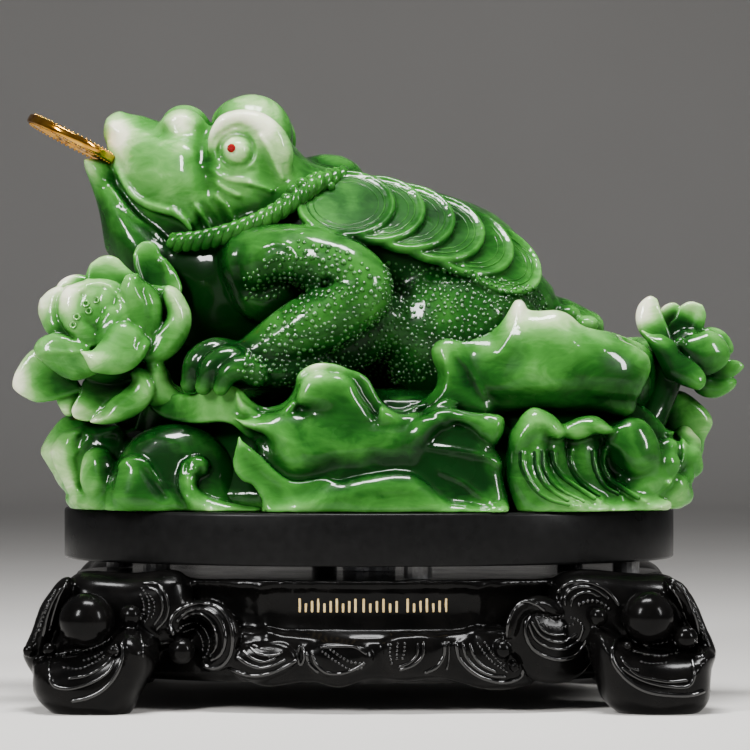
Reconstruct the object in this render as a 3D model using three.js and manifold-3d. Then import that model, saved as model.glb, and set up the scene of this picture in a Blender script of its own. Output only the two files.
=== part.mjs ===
// A money toad figure: a jade-coloured resin toad with a coin in its mouth, on lotus leaves and waves,
// carried by a black oval disc that turns on a carved black stand.
// Millimetres, +Z up, the toad looks to -X, and the front is -Y.
import * as THREE from "three";
import { mergeVertices } from "three/addons/utils/BufferGeometryUtils.js";
import Module from "manifold-3d";

const wasm = await Module();
wasm.setup();

// Stand and turning disc
const STAND_LENGTH = 286;
const STAND_HEIGHT = 61.6;
const STAND_UNDERSIDE = 14;
const STAND_RATIO = 0.68;
const DISC_LENGTH = 298;
const DISC_RATIO = 0.66;
const DISC_THICKNESS = 24.7;
const DISC_EDGE = 1.2;
const SWIVEL_GAP = 6.5;
const TOUCH_GAP = 0.3;
const TURN_CLEARANCE = 0.4;
const AXIS_X = -5;

// Feet, glide pads and centre swivel
const FOOT_X = 128;
const FOOT_Y = 87;
const FOOT_RADIUS = 28;
const FOOT_HEIGHT = 36;
const PAD_RADIUS = 6.5;
const PAD_COUNT = 6;
const PAD_INSET = 17;
const PAD_FIRST_ANGLE = 10;
const SWIVEL_RADIUS = 13;
const SWIVEL_LOWER_HEIGHT = 2.9;

// Coin in the mouth, coins on the back and eye stones
const COIN_RADIUS = 25;
const COIN_THICKNESS = 4.2;
const COIN_HOLE = 11;
const COIN_RIM = 3;
const COIN_RELIEF = 0.6;
const COIN_SIDES = 32;
const COIN_CENTRE = [-144.6, 0, 271.9];
const COIN_FACING = [0.456, 0.04, 0.889];
const BACK_COIN_RADIUS = 24;
const BACK_COIN_THICKNESS = 5;
const BACK_COIN_COUNT = 6;
const GEM_RADIUS = 2.2;
const GEM_CROWN = 0.8;
const GEM_POINT = 1.6;
const SET_CLEARANCE = 0.3;

// Facets of the two carved pieces
const CASTING_TRIANGLES = 6100;
const STAND_TRIANGLES = 2100;

// Levels that follow from them
const DISC_BOTTOM = STAND_HEIGHT + SWIVEL_GAP;
const DISC_TOP = DISC_BOTTOM + DISC_THICKNESS;
const CASTING_BOTTOM = DISC_TOP + TOUCH_GAP;

const JADE = new THREE.MeshStandardMaterial({ color: 0x3f8f4a, roughness: 0.12, metalness: 0 });
const BLACK = new THREE.MeshStandardMaterial({ color: 0x0c0c0d, roughness: 0.35, metalness: 0 });
const GOLD = new THREE.MeshStandardMaterial({ color: 0xd9a53a, roughness: 0.2, metalness: 1 });
const RED = new THREE.MeshStandardMaterial({ color: 0xb80d12, roughness: 0.05, metalness: 0 });
const STEEL = new THREE.MeshStandardMaterial({ color: 0x8a8d90, roughness: 0.35, metalness: 1 });
const RUBBER = new THREE.MeshStandardMaterial({ color: 0x2b2c2e, roughness: 0.6, metalness: 0 });

// Solids and geometries

function vec(p) {
  return new THREE.Vector3(p[0], p[1], p[2]);
}

function solid(geometry) {
  const bare = geometry.clone();
  bare.deleteAttribute("normal");
  if (bare.getAttribute("uv")) bare.deleteAttribute("uv");
  const merged = mergeVertices(bare, 1e-4);
  return new wasm.Manifold(
    new wasm.Mesh({
      numProp: 3,
      vertProperties: new Float32Array(merged.attributes.position.array),
      triVerts: new Uint32Array(merged.index.array),
    }),
  );
}

function indexed(points, faces) {
  const geometry = new THREE.BufferGeometry();
  geometry.setAttribute("position", new THREE.Float32BufferAttribute(points, 3));
  geometry.setIndex(faces);
  return geometry;
}

// A solid from faces that all wind one way, whichever way that is.
function facingOut(points, faces) {
  const made = solid(indexed(points, faces));
  if (made.volume() >= 0) return made;
  const turned = faces.map((_, i) => faces[i - (i % 3) + ((3 - (i % 3)) % 3)]);
  return solid(indexed(points, turned));
}

function union(bodies) {
  return bodies.reduce((whole, body) => whole.add(body));
}

// The outer skin of a body: the largest connected shell, so that pockets sealed by a join are filled.
function outerSkin(body) {
  const mesh = body.getMesh();
  const owner = Array.from({ length: mesh.numVert }, (_, i) => i);
  const find = (i) => {
    while (owner[i] !== i) i = owner[i] = owner[owner[i]];
    return i;
  };
  const triangles = [];
  for (let i = 0; i < mesh.triVerts.length; i += 3) {
    const [a, b, c] = mesh.triVerts.subarray(i, i + 3);
    triangles.push([a, b, c]);
    owner[find(a)] = find(b);
    owner[find(b)] = find(c);
  }
  const counts = new Map();
  for (const [a] of triangles) counts.set(find(a), (counts.get(find(a)) ?? 0) + 1);
  const largest = [...counts].reduce((a, b) => (b[1] > a[1] ? b : a))[0];
  const values = mesh.vertProperties;
  const points = Array.from({ length: mesh.numVert }, (_, i) => vec(values.subarray(i * mesh.numProp)));
  return { points, triangles: triangles.filter(([a]) => find(a) === largest) };
}

// How far a point lies from the planes of a set of triangles, as a sum of squares by area.
function planeError(point, triangles, points) {
  const edge = new THREE.Vector3();
  const normal = new THREE.Vector3();
  let error = 0;
  for (const [a, b, c] of triangles) {
    normal.copy(points[b]).sub(points[a]).cross(edge.copy(points[c]).sub(points[a]));
    const area = normal.length() / 2;
    if (area > 0) error += area * (normal.divideScalar(2 * area).dot(edge.copy(point).sub(points[a])) ** 2);
  }
  return error;
}

function normalOf(a, b, c) {
  return b.clone().sub(a).cross(c.clone().sub(a));
}

// Thins a closed skin to a number of triangles: edges close up where the surface changes least.
function thinned({ points, triangles }, target) {
  let left = triangles;
  let before = Infinity;
  while (left.length > target && left.length < before) {
    before = left.length;
    const around = points.map(() => []);
    for (const triangle of left) for (const corner of triangle) around[corner].push(triangle);
    const neighbours = around.map((list) => new Set(list.flat()));
    const edges = [];
    neighbours.forEach((set, a) => {
      for (const b of set) {
        if (b <= a) continue;
        const nearby = [...around[a], ...around[b]];
        const middle = points[a].clone().lerp(points[b], 0.5);
        const [error, place] = [points[a], points[b], middle]
          .map((place) => [planeError(place, nearby, points), place])
          .reduce((best, next) => (next[0] < best[0] ? next : best));
        edges.push({ a, b, place, cost: error + 1e-4 * points[a].distanceToSquared(points[b]) });
      }
    });
    edges.sort((first, second) => first.cost - second.cost);
    const most = Math.min((left.length - target) / 2, edges.length / 12);
    const used = new Set();
    const gone = new Map();
    for (const { a, b, place } of edges) {
      if (gone.size >= most) break;
      const shared = [...neighbours[a]].filter((c) => c !== a && c !== b && neighbours[b].has(c));
      const ring = new Set([...neighbours[a], ...neighbours[b]]);
      if (shared.length !== 2 || [...ring].some((c) => used.has(c))) continue;
      const moved = (corner) => (corner === a || corner === b ? place : points[corner]);
      const keptFaces = [...around[a], ...around[b]].filter((t) => !(t.includes(a) && t.includes(b)));
      const turnsOver = keptFaces.some((t) => {
        const old = normalOf(...t.map((corner) => points[corner]));
        const now = normalOf(...t.map(moved));
        const swung = old.lengthSq() > 1e-8 && now.dot(old) < 0.3 * now.length() * old.length();
        return swung || now.lengthSq() < 1e-6;
      });
      if (turnsOver) continue;
      for (const c of ring) used.add(c);
      gone.set(b, a);
      points[a] = place.clone();
    }
    left = left
      .map((triangle) => triangle.map((corner) => gone.get(corner) ?? corner))
      .filter(([a, b, c]) => a !== b && b !== c && c !== a);
  }
  return { points, triangles: left };
}

function geometryOf({ points, triangles }) {
  const corners = triangles.flat().flatMap((corner) => points[corner].toArray());
  const loose = new THREE.BufferGeometry();
  loose.setAttribute("position", new THREE.Float32BufferAttribute(corners, 3));
  const geometry = mergeVertices(loose, 1e-5);
  geometry.computeVertexNormals();
  return geometry;
}

// A closed skin over rings of points, each with the same count, and a pole at each end.
function ringsToSolid(rings, startPole, endPole) {
  const count = rings[0].length;
  const points = [...rings.flat(), startPole, endPole].flatMap((p) => p.toArray());
  const start = rings.length * count;
  const last = start - count;
  const faces = [];
  for (let i = 0; i < count; i++) {
    const j = (i + 1) % count;
    faces.push(start, j, i, start + 1, last + i, last + j);
    for (let r = 0; r + 1 < rings.length; r++) {
      const [a, b] = [r * count + i, r * count + j];
      faces.push(a, b, b + count, a, b + count, a + count);
    }
  }
  return facingOut(points, faces);
}

function ball(centre, radii, turn = [0, 0, 0], sides = 12) {
  const geometry = new THREE.SphereGeometry(1, sides, Math.ceil(sides * 0.6)).rotateX(Math.PI / 2);
  geometry.scale(radii[0], radii[1], radii[2]);
  const [x, y, z] = turn.map((degrees) => THREE.MathUtils.degToRad(degrees));
  geometry.rotateX(x).rotateY(y).rotateZ(z);
  geometry.translate(centre[0], centre[1], centre[2]);
  return solid(geometry);
}

// A turned form with an oval plan: its profile holds [radius, height] pairs, from axis to axis.
function oval(profile, ratio, sides, centre = [0, 0]) {
  const points = profile.map(([radius, height]) => new THREE.Vector2(radius, height));
  const geometry = new THREE.LatheGeometry(points, sides).rotateX(Math.PI / 2);
  geometry.scale(1, ratio, 1).translate(centre[0], centre[1], 0);
  return facingOut(...partsOf(geometry));
}

function partsOf(geometry) {
  const bare = geometry.clone();
  bare.deleteAttribute("normal");
  bare.deleteAttribute("uv");
  const merged = mergeVertices(bare, 1e-4);
  const faces = [];
  const index = merged.index.array;
  for (let i = 0; i < index.length; i += 3) {
    const [a, b, c] = [index[i], index[i + 1], index[i + 2]];
    if (a !== b && b !== c && c !== a) faces.push(a, b, c);
  }
  return [Array.from(merged.attributes.position.array), faces];
}

function between(values, t) {
  const at = t * (values.length - 1);
  const low = Math.min(Math.floor(at), values.length - 2);
  return THREE.MathUtils.lerp(values[low], values[low + 1], at - low);
}

// A rounded limb along a curve. Each station is [x, y, z, radius, half width along `across`].
function limb(stations, { sides = 8, steps = 2 * stations.length, across = [0, 1, 0] } = {}) {
  const curve = new THREE.CatmullRomCurve3(stations.map(vec), false, "centripetal");
  const radii = stations.map((station) => station[3]);
  const widths = stations.map((station) => station[4] ?? station[3]);
  const ringAt = (t, shrink, shift) => {
    const tangent = curve.getTangent(t);
    const side = vec(across).addScaledVector(tangent, -vec(across).dot(tangent)).normalize();
    const up = side.clone().cross(tangent);
    const centre = curve.getPoint(t).addScaledVector(tangent, shift * between(radii, t));
    return Array.from({ length: sides }, (_, i) => {
      const angle = (2 * Math.PI * (i + 0.5)) / sides;
      return centre
        .clone()
        .addScaledVector(side, shrink * between(widths, t) * Math.cos(angle))
        .addScaledVector(up, shrink * between(radii, t) * Math.sin(angle));
    });
  };
  const rings = [ringAt(0, 0.75, -0.6)];
  for (let k = 0; k <= steps; k++) rings.push(ringAt(k / steps, 1, 0));
  rings.push(ringAt(1, 0.75, 0.6));
  const startPole = curve.getPoint(0).addScaledVector(curve.getTangent(0), -radii[0]);
  const endPole = curve.getPoint(1).addScaledVector(curve.getTangent(1), radii.at(-1));
  return ringsToSolid(rings, startPole, endPole);
}

// A closed sheet over a grid of points, thinner at its border.
function gridToSheet(grid, thickness, edge = 0.4) {
  const across = grid.length - 1;
  const along = grid[0].length - 1;
  const width = along + 1;
  const total = width * (across + 1);
  const front = [];
  const back = [];
  grid.forEach((row, j) => {
    row.forEach((point, i) => {
      const du = row[Math.min(i + 1, along)].clone().sub(row[Math.max(i - 1, 0)]);
      const dv = grid[Math.min(j + 1, across)][i].clone().sub(grid[Math.max(j - 1, 0)][i]);
      const border = i === 0 || i === along || j === 0 || j === across;
      const offset = du.cross(dv).normalize().multiplyScalar((thickness / 2) * (border ? edge : 1));
      front.push(point.clone().add(offset));
      back.push(point.clone().sub(offset));
    });
  });
  const faces = [];
  for (let j = 0; j < across; j++) {
    for (let i = 0; i < along; i++) {
      const a = j * width + i;
      const b = a + total;
      faces.push(a, a + 1, a + width + 1, a, a + width + 1, a + width);
      faces.push(b, b + width + 1, b + 1, b, b + width, b + width + 1);
    }
  }
  const rim = [];
  for (let i = 0; i < along; i++) rim.push(i);
  for (let j = 0; j < across; j++) rim.push(j * width + along);
  for (let i = along; i > 0; i--) rim.push(across * width + i);
  for (let j = across; j > 0; j--) rim.push(j * width);
  rim.forEach((a, k) => {
    const b = rim[(k + 1) % rim.length];
    faces.push(a, b + total, b, a, a + total, b + total);
  });
  return facingOut([...front, ...back].flatMap((p) => p.toArray()), faces);
}

// A leaf: a sheet through rows of points, from its inner line over its ruffled rim to its fold below.
function leaf(rows, thickness, { along = 14, across = 4 } = {}) {
  const lines = rows.map((row) => new THREE.CatmullRomCurve3(row.map(vec), false, "centripetal"));
  const columns = Array.from({ length: along + 1 }, (_, i) => {
    const points = lines.map((line) => line.getPoint(i / along));
    return new THREE.CatmullRomCurve3(points, false, "centripetal");
  });
  const rowAt = (v) => columns.map((line) => line.getPoint(v));
  return gridToSheet(
    Array.from({ length: across + 1 }, (_, j) => rowAt(j / across)),
    thickness,
  );
}

// A lotus petal from its base to its tip, cupped towards `inward`.
function petal(base, tip, inward, width) {
  const [along, across, thickness, cup, bow] = [5, 4, 3.2, 0.45, 0.16];
  const start = vec(base);
  const length = vec(tip).sub(start);
  const reach = length.length();
  const leaning = vec(inward).dot(length) / length.lengthSq();
  const facing = vec(inward).addScaledVector(length, -leaning).normalize();
  const side = length.clone().normalize().cross(facing);
  const grid = Array.from({ length: across + 1 }, (_, j) =>
    Array.from({ length: along + 1 }, (_, i) => {
      const v = (2 * j) / across - 1;
      const u = i / along;
      const outline = (0.3 + 0.7 * Math.sin(Math.PI * (0.1 + 0.75 * u))) * (1 - 0.78 * u ** 5);
      const half = (width / 2) * outline;
      const lift = cup * half * v * v - bow * reach * Math.sin(Math.PI * u);
      const spine = start.clone().addScaledVector(length, u);
      return spine.addScaledVector(side, half * v).addScaledVector(facing, lift);
    }),
  );
  return gridToSheet(grid, thickness, 0.45);
}

// A lotus bloom: a seed head and petals, each given as [tip x, y, z, width].
function lotus(centre, axis, seedRadius, petals) {
  const up = vec(axis).normalize();
  const seedCentre = vec(centre).addScaledVector(up, -2).toArray();
  const parts = [ball(seedCentre, [seedRadius, seedRadius, seedRadius], [0, 0, 0], 10)];
  for (const [x, y, z, width] of petals) {
    const out = new THREE.Vector3(x, y, z).sub(vec(centre));
    const flat = out.clone().addScaledVector(up, -out.dot(up)).normalize();
    const base = vec(centre).addScaledVector(flat, seedRadius * 0.3).addScaledVector(up, -seedRadius * 0.9);
    const inward = up.clone().multiplyScalar(1.1).addScaledVector(flat, -0.7);
    parts.push(petal(base.toArray(), [x, y, z], inward.toArray(), width));
  }
  return parts;
}

// A curl that winds inwards in the plane of `right` and +Z, from its outer end to its eye.
function curl(eye, outer, turns, from, thick, { lean = 0, direction = 1 } = {}) {
  const steps = 12;
  const stations = Array.from({ length: steps + 1 }, (_, k) => {
    const t = k / steps;
    const angle = THREE.MathUtils.degToRad(from + direction * 360 * turns * t);
    const reach = outer * (1 - t) ** 0.8 + thick * 0.5;
    const radius = thick * (1 - 0.55 * t);
    return [eye[0] + reach * Math.cos(angle), eye[1] - lean * t, eye[2] + reach * Math.sin(angle), radius];
  });
  return limb(stations, { sides: 7, steps });
}

// A plain round blank about the origin, flat in the XY plane.
function coinBlank(radius, thickness, sides, grow = 0) {
  const half = thickness / 2 + grow;
  const outer = radius + grow;
  const geometry = new THREE.CylinderGeometry(outer, outer, 2 * half, sides).rotateX(Math.PI / 2);
  return solid(indexed(...partsOf(geometry)));
}

function squareHole(side, depth) {
  return solid(new THREE.BoxGeometry(side, side, depth));
}

function placed(body, centre, facing) {
  const turn = new THREE.Quaternion();
  turn.setFromUnitVectors(new THREE.Vector3(0, 0, 1), vec(facing).normalize());
  const matrix = new THREE.Matrix4().compose(vec(centre), turn, new THREE.Vector3(1, 1, 1));
  return body.transform(matrix.elements);
}

// The toad

function head() {
  const upper = limb(
    [
      [-122, 0, 276, 9, 9],
      [-114, 0, 267, 17, 18],
      [-104, 0, 259, 23, 25],
      [-92, 0, 254, 27, 31],
      [-78, 0, 251, 30, 35],
      [-62, 0, 251, 31, 37],
      [-45, 0, 246, 30, 36],
    ],
    { sides: 14, steps: 8 },
  );
  const snoutTip = limb(
    [
      [-104, 0, 272, 9, 12],
      [-117, 0, 279, 7, 8],
      [-123, 0, 284, 3.5, 4],
    ],
    { sides: 8, steps: 3 },
  );
  const lowerJaw = limb(
    [
      [-135.5, 0, 259, 3.6, 7],
      [-125, 0, 244, 8, 17],
      [-115, 0, 226, 13.5, 26],
      [-102, 0, 211, 19, 31],
      [-84, 0, 208, 26, 33],
    ],
    { sides: 12, steps: 7 },
  );
  const parts = [upper, snoutTip, lowerJaw];
  for (const side of [-1, 1]) {
    const lift = side > 0 ? 9 : 0;
    parts.push(ball([-58, 20 * side, 267 + lift], [19, 15, 20], [0, 0, 0], 12));
    parts.push(ball([-63.5, 33 * side, 265 + lift], [9.4, 7.5, 9.4], [0, 0, 0], 10));
    parts.push(ball([-91, 10 * side, 275 + lift * 0.4], [12, 9, 10], [0, 10, 0], 10));
    parts.push(
      limb(
        [
          [-78, 31 * side, 264 + lift, 4],
          [-70, 29 * side, 279 + lift, 4.6],
          [-57, 28 * side, 283 + lift, 5],
          [-44, 30 * side, 274 + lift, 5.5],
          [-37, 33 * side, 260 + lift, 5],
          [-41, 34 * side, 250 + lift, 3],
        ],
        { sides: 7, steps: 8 },
      ),
    );
  }
  return parts;
}

function torso() {
  return [
    limb(
      [
        [-51, 0, 236, 27, 33],
        [-19, 0, 226, 33, 42],
        [15, 0, 211, 40, 47],
        [42, 0, 197, 43, 47],
        [58, 0, 184, 36, 38],
      ],
      { sides: 16, steps: 7 },
    ),
    ball([-68, 0, 205], [38, 36, 44]),
    ball([5, 0, 180], [72, 42, 36]),
    ball([-21, 16, 253], [19, 18, 13.5]),
    limb([[70, 8, 182, 14], [92, 10, 184, 12, 15], [108, 12, 181, 8, 11]], { sides: 8, steps: 4 }),
  ];
}

function frontLeg(side) {
  const at = (x, y, z, ...radii) => [x, y * side, z, ...radii];
  const arm = limb(
    [
      at(-46, 38, 208, 17),
      at(-26, 50, 212, 14),
      at(-8, 58, 204, 13.5),
      at(-5, 60, 193, 14.5),
      at(-30, 61, 176, 12.5),
      at(-56, 60, 165, 9),
    ],
    { sides: 9, steps: 10 },
  );
  const foot = limb([at(-26, 60, 157, 8), at(-56, 61, 159, 9, 11), at(-74, 62, 160, 8, 10)], {
    sides: 8,
    steps: 4,
  });
  const toes = [50, 61, 72].map((y) => {
    const tipX = -90 + 0.5 * Math.abs(y - 61);
    return limb([at(-66, 0.3 * y + 43, 159, 6), at(-78, y, 162, 5.4), at(tipX, y, 155, 4)], {
      sides: 6,
      steps: 4,
    });
  });
  return [ball(at(-47, 38, 203), [20, 15, 22], [0, 0, 0], 10), arm, foot, ...toes];
}

function hindLeg(side) {
  return [
    ball([42, 28 * side, 177], [42, 32, 36], [0, 15, 0], 14),
    limb([[30, 48 * side, 162, 13, 10], [10, 50 * side, 156, 11, 10], [-6, 50 * side, 153, 8, 9]], {
      sides: 7,
      steps: 4,
    }),
  ];
}

// The overlapping coins lie along each flank, each one tucked under the one nearer the head.
function backCoins(side) {
  return Array.from({ length: BACK_COIN_COUNT }, (_, k) => {
    const t = k / (BACK_COIN_COUNT - 1);
    const centre = [-7 + 68 * t, side * (35 - 5 * t * t), 241 - 10 * t - 19 * t * t];
    const facing = [0.02 + 0.42 * t * t, side * 0.72, 0.75];
    return placed(coinBlank(BACK_COIN_RADIUS, BACK_COIN_THICKNESS, 18), centre, facing);
  });
}

function rope(side) {
  return limb(
    [
      [-92, 34 * side, 216, 3.4],
      [-72, 41 * side, 222, 3.6],
      [-52, 42 * side, 231, 3.6],
      [-33, 39 * side, 241, 3.6],
      [-12, 27 * side, 252, 3.6],
      [6, 10 * side, 256, 3.2],
    ],
    { sides: 6, steps: 10 },
  );
}

// The lotus leaves, waves and blooms

function mound() {
  return oval(
    [
      [0, CASTING_BOTTOM],
      [134, CASTING_BOTTOM],
      [137, CASTING_BOTTOM + 5],
      [126, CASTING_BOTTOM + 20],
      [110, CASTING_BOTTOM + 38],
      [98, CASTING_BOTTOM + 52],
      [84, CASTING_BOTTOM + 57],
      [0, CASTING_BOTTOM + 58],
    ],
    0.62,
    28,
  );
}

function frontLeaves() {
  const upper = leaf(
    [
      [[-98, -22, 147], [-70, -36, 149], [-44, -44, 150], [-18, -50, 154], [8, -50, 148], [44, -44, 150]],
      [[-101, -42, 148], [-65, -66, 152], [-50, -71, 143], [-21, -81, 163], [9, -81, 141], [38, -72, 149]],
      [[-99, -40, 134], [-65, -62, 138], [-48, -66, 132], [-22, -73, 142], [10, -72, 132], [44, -66, 136]],
      [[-98, -34, 128], [-64, -54, 127], [-44, -60, 124], [-20, -64, 126], [10, -64, 124], [46, -58, 128]],
    ],
    4.5,
    { along: 18, across: 4 },
  );
  const middle = leaf(
    [
      [[-64, -60, 138], [-46, -62, 134], [-22, -66, 130], [0, -68, 130], [34, -66, 136], [62, -60, 130]],
      [[-63, -79, 136], [-47, -85, 128], [-26, -90, 115], [2, -91, 119], [38, -88, 136], [62, -81, 131]],
      [[-62, -74, 126], [-46, -78, 118], [-26, -82, 110], [2, -83, 112], [38, -80, 120], [60, -74, 120]],
    ],
    4.5,
    { along: 16, across: 3 },
  );
  const lower = leaf(
    [
      [[-66, -66, 118], [-50, -68, 112], [-22, -70, 114], [12, -71, 116], [34, -70, 112], [60, -66, 108]],
      [[-63, -81, 114], [-46, -87, 103], [-20, -92, 107], [14, -93, 110], [36, -91, 101], [62, -85, 98]],
      [[-64, -74, 97], [-46, -80, 96], [-20, -86, 96], [14, -87, 96], [36, -85, 96], [60, -78, 96]],
    ],
    4.5,
    { along: 16, across: 3 },
  );
  return [upper, middle, lower];
}

// Plainer leaves close the back, with a rim that rises and falls in waves.
function backLeaves() {
  const rimLine = (z, y, swing) =>
    Array.from({ length: 9 }, (_, k) => {
      const t = k / 4 - 1;
      return [105 * t, y * Math.sqrt(1 - 0.45 * t * t), z + swing * Math.cos(k * 2.2)];
    });
  const level = (z, depth, swing) =>
    leaf([rimLine(z + 4, depth - 26, 0), rimLine(z, depth, swing), rimLine(z - 16, depth - 10, 0)], 5, {
      along: 18,
      across: 3,
    });
  return [level(148, 78, 6), level(122, 90, 5)];
}

// A big leaf curled up into a bowl on the right, its front rim rising to a curled tip.
function bowlLeaf() {
  const [centreX, centreY] = [83, -12];
  const frontRim = [164, 175, 177, 178, 190, 187, 180, 177, 173, 166];
  const rimHeight = (angle) => {
    const along = (1 + Math.cos(angle)) / 2;
    const front = THREE.MathUtils.smoothstep(-Math.sin(angle), -0.1, 0.35);
    return THREE.MathUtils.lerp(172, between(frontRim, along), front);
  };
  const wall = (levels) => {
    const rings = levels.map(([level, reach, floor]) =>
      Array.from({ length: 24 }, (_, i) => {
        const angle = (2 * Math.PI * i) / 24;
        const height = THREE.MathUtils.lerp(rimHeight(angle), floor, level);
        const [x, y] = [54 * reach * Math.cos(angle), 50 * reach * Math.sin(angle)];
        return vec([centreX + x, centreY + y, height]);
      }),
    );
    const [top, bottom] = [levels[0], levels.at(-1)].map(([level, , floor]) => (level < 0.5 ? 172 : floor));
    return ringsToSolid(rings, vec([centreX, centreY, top]), vec([centreX, centreY, bottom]));
  };
  const outside = wall([[0, 1, 130], [0.3, 1.03, 140], [0.65, 0.97, 136], [1, 0.72, 132]]);
  const inside = wall([[-0.4, 0.93, 150], [0, 0.93, 150], [0.5, 0.93, 150], [1, 0.8, 150]]);
  const tip = limb([[64, -60, 176, 7, 4], [70, -61, 187, 4, 3.4], [71.5, -60, 192.5, 2.4]], {
    sides: 7,
    steps: 4,
  });
  return [outside.subtract(inside).add(tip)];
}

function leftWaves() {
  return [
    limb(
      [
        [-124, -40, 98, 11, 14],
        [-142, -36, 104, 12, 14],
        [-149, -36, 122, 11, 13],
        [-142, -38, 132, 9, 11],
      ],
      { sides: 8, steps: 6 },
    ),
    curl([-138, -44, 124], 12, 0.9, 120, 5, { direction: -1, lean: 3 }),
    ball([-128, -48, 112], [9, 9, 10], [0, 0, 0], 8),
    limb([[-102, -60, 97, 8], [-114, -62, 106, 7], [-113, -64, 117, 5]], { sides: 7, steps: 4 }),
    limb(
      [
        [-84, -68, 97, 8],
        [-97, -68, 107, 7],
        [-103, -69, 117, 5],
        [-97, -72, 118, 4],
      ],
      { sides: 7, steps: 5 },
    ),
    limb(
      [
        [-62, -74, 98, 9],
        [-82, -72, 100, 9],
        [-92, -70, 112, 8],
        [-86, -72, 121, 6],
        [-77, -76, 117, 4.5],
      ],
      { sides: 7, steps: 7 },
    ),
    ball([-98, -40, 122], [32, 26, 17], [0, 0, 0], 10),
    ball([-132, -10, 116], [24, 26, 20], [0, 0, 0], 10),
  ];
}

function rightWaves() {
  const crests = [
    [78, -76, 0],
    [102, -70, -3],
    [124, -58, -4],
  ].map(([x, y, drop]) =>
    limb(
      [
        [x + 26, y + 8, 99, 8, 9],
        [x + 8, y + 2, 103, 10, 12],
        [x - 8, y, 118 + drop, 9, 12],
        [x - 2, y - 2, 133 + drop, 7.5, 12],
        [x + 12, y - 2, 134 + drop, 5, 10],
      ],
      { sides: 8, steps: 7 },
    ),
  );
  return [
    ...crests,
    ball([92, -40, 118], [44, 34, 28], [0, 0, 0], 12),
    ball([138, -28, 114], [20, 24, 20], [0, 0, 0], 10),
    curl([149, -34, 120], 9, 0.8, 60, 4.5, { lean: 2 }),
    limb([[140, -24, 100, 9], [154, -20, 108, 7], [156, -18, 120, 6]], { sides: 7, steps: 4 }),
    petal([142, -8, 112], [166, -4, 136], [-0.4, -1, 0.2], 26),
  ];
}

function backWaves() {
  return [-1, 0, 1].map((k) =>
    limb(
      [
        [60 * k + 34, 64 - 8 * Math.abs(k), 99, 10, 12],
        [60 * k + 10, 72 - 8 * Math.abs(k), 103, 10, 13],
        [60 * k - 6, 70 - 8 * Math.abs(k), 118, 9, 12],
        [60 * k + 4, 72 - 8 * Math.abs(k), 131, 6, 10],
      ],
      { sides: 8, steps: 5 },
    ),
  );
}

function leftBloom() {
  const petals = [
    [-122, -44, 214, 38],
    [-148, -48, 200, 32],
    [-158, -58, 187, 30],
    [-160, -62, 168, 30],
    [-168, -52, 154, 36],
    [-136, -76, 158, 34],
    [-112, -74, 162, 34],
    [-98, -58, 188, 36],
    [-124, -72, 200, 26],
    [-104, -34, 220, 32],
    [-90, -42, 200, 34],
    [-90, -48, 172, 34],
  ];
  return [
    ...lotus([-131, -52, 184], [-0.25, -0.85, 0.35], 13, petals),
    ball([-128, -44, 176], [24, 20, 22], [0, 0, 0], 10),
    limb([[-128, -44, 172, 12], [-116, -38, 150, 10], [-104, -30, 122, 12]], { sides: 8, steps: 4 }),
    petal([-112, -52, 156], [-142, -64, 141], [0.2, -0.3, 1], 30),
  ];
}

function rightBloom() {
  const petals = [
    [136, -18, 196, 20],
    [147, -12, 192, 18],
    [158, -16, 194, 20],
    [170, -22, 178, 22],
    [181, -22, 162, 18],
    [177, -30, 153, 22],
    [160, -38, 151, 20],
    [168, -8, 182, 20],
    [172, -6, 158, 20],
  ];
  return [
    ...lotus([153, -20, 171], [0.45, -0.35, 0.8], 8, petals),
    ball([153, -22, 178], [9, 9, 9], [0, 0, 0], 8),
    limb(
      [
        [152, -19, 166, 9],
        [145, -19, 146, 7],
        [138, -20, 122, 8],
        [132, -22, 108, 8],
      ],
      { sides: 7, steps: 5 },
    ),
  ];
}

function gemShape(grow) {
  const widest = GEM_RADIUS + grow;
  const profile = [
    [0, -GEM_POINT - grow],
    [widest, 0],
    [widest * 0.6, GEM_CROWN + grow],
    [0, GEM_CROWN + grow],
  ].map(([radius, height]) => new THREE.Vector2(radius, height));
  const geometry = new THREE.LatheGeometry(profile, 8).rotateX(Math.PI / 2);
  return facingOut(...partsOf(geometry));
}

const GEMS = [
  { name: "near_eye_gem", centre: [-66, -40.2, 266], facing: [-0.25, -0.96, 0.1] },
  { name: "far_eye_gem", centre: [-66, 40.2, 275], facing: [-0.25, 0.96, 0.1] },
];

function jadeCasting() {
  const sides = [-1, 1];
  const whole = union([
    mound(),
    ...torso(),
    ...head(),
    ...sides.flatMap(frontLeg),
    ...sides.flatMap(hindLeg),
    ...sides.flatMap(backCoins),
    ...sides.map(rope),
    ...frontLeaves(),
    ...backLeaves(),
    ...bowlLeaf(),
    ...leftWaves(),
    ...rightWaves(),
    ...backWaves(),
    ...leftBloom(),
    ...rightBloom(),
  ]);
  const slotBlank = coinBlank(COIN_RADIUS, COIN_THICKNESS, COIN_SIDES, SET_CLEARANCE);
  const mouthSlot = placed(slotBlank, COIN_CENTRE, COIN_FACING);
  const floor = solid(new THREE.BoxGeometry(500, 400, 100).translate(0, 0, CASTING_BOTTOM - 50));
  const carved = solid(geometryOf(thinned(outerSkin(whole), CASTING_TRIANGLES)));
  const cut = GEMS.reduce(
    (body, { centre, facing }) => body.subtract(placed(gemShape(SET_CLEARANCE), centre, facing)),
    carved.subtract(mouthSlot).subtract(floor),
  );
  return outerSkin(cut);
}

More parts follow.
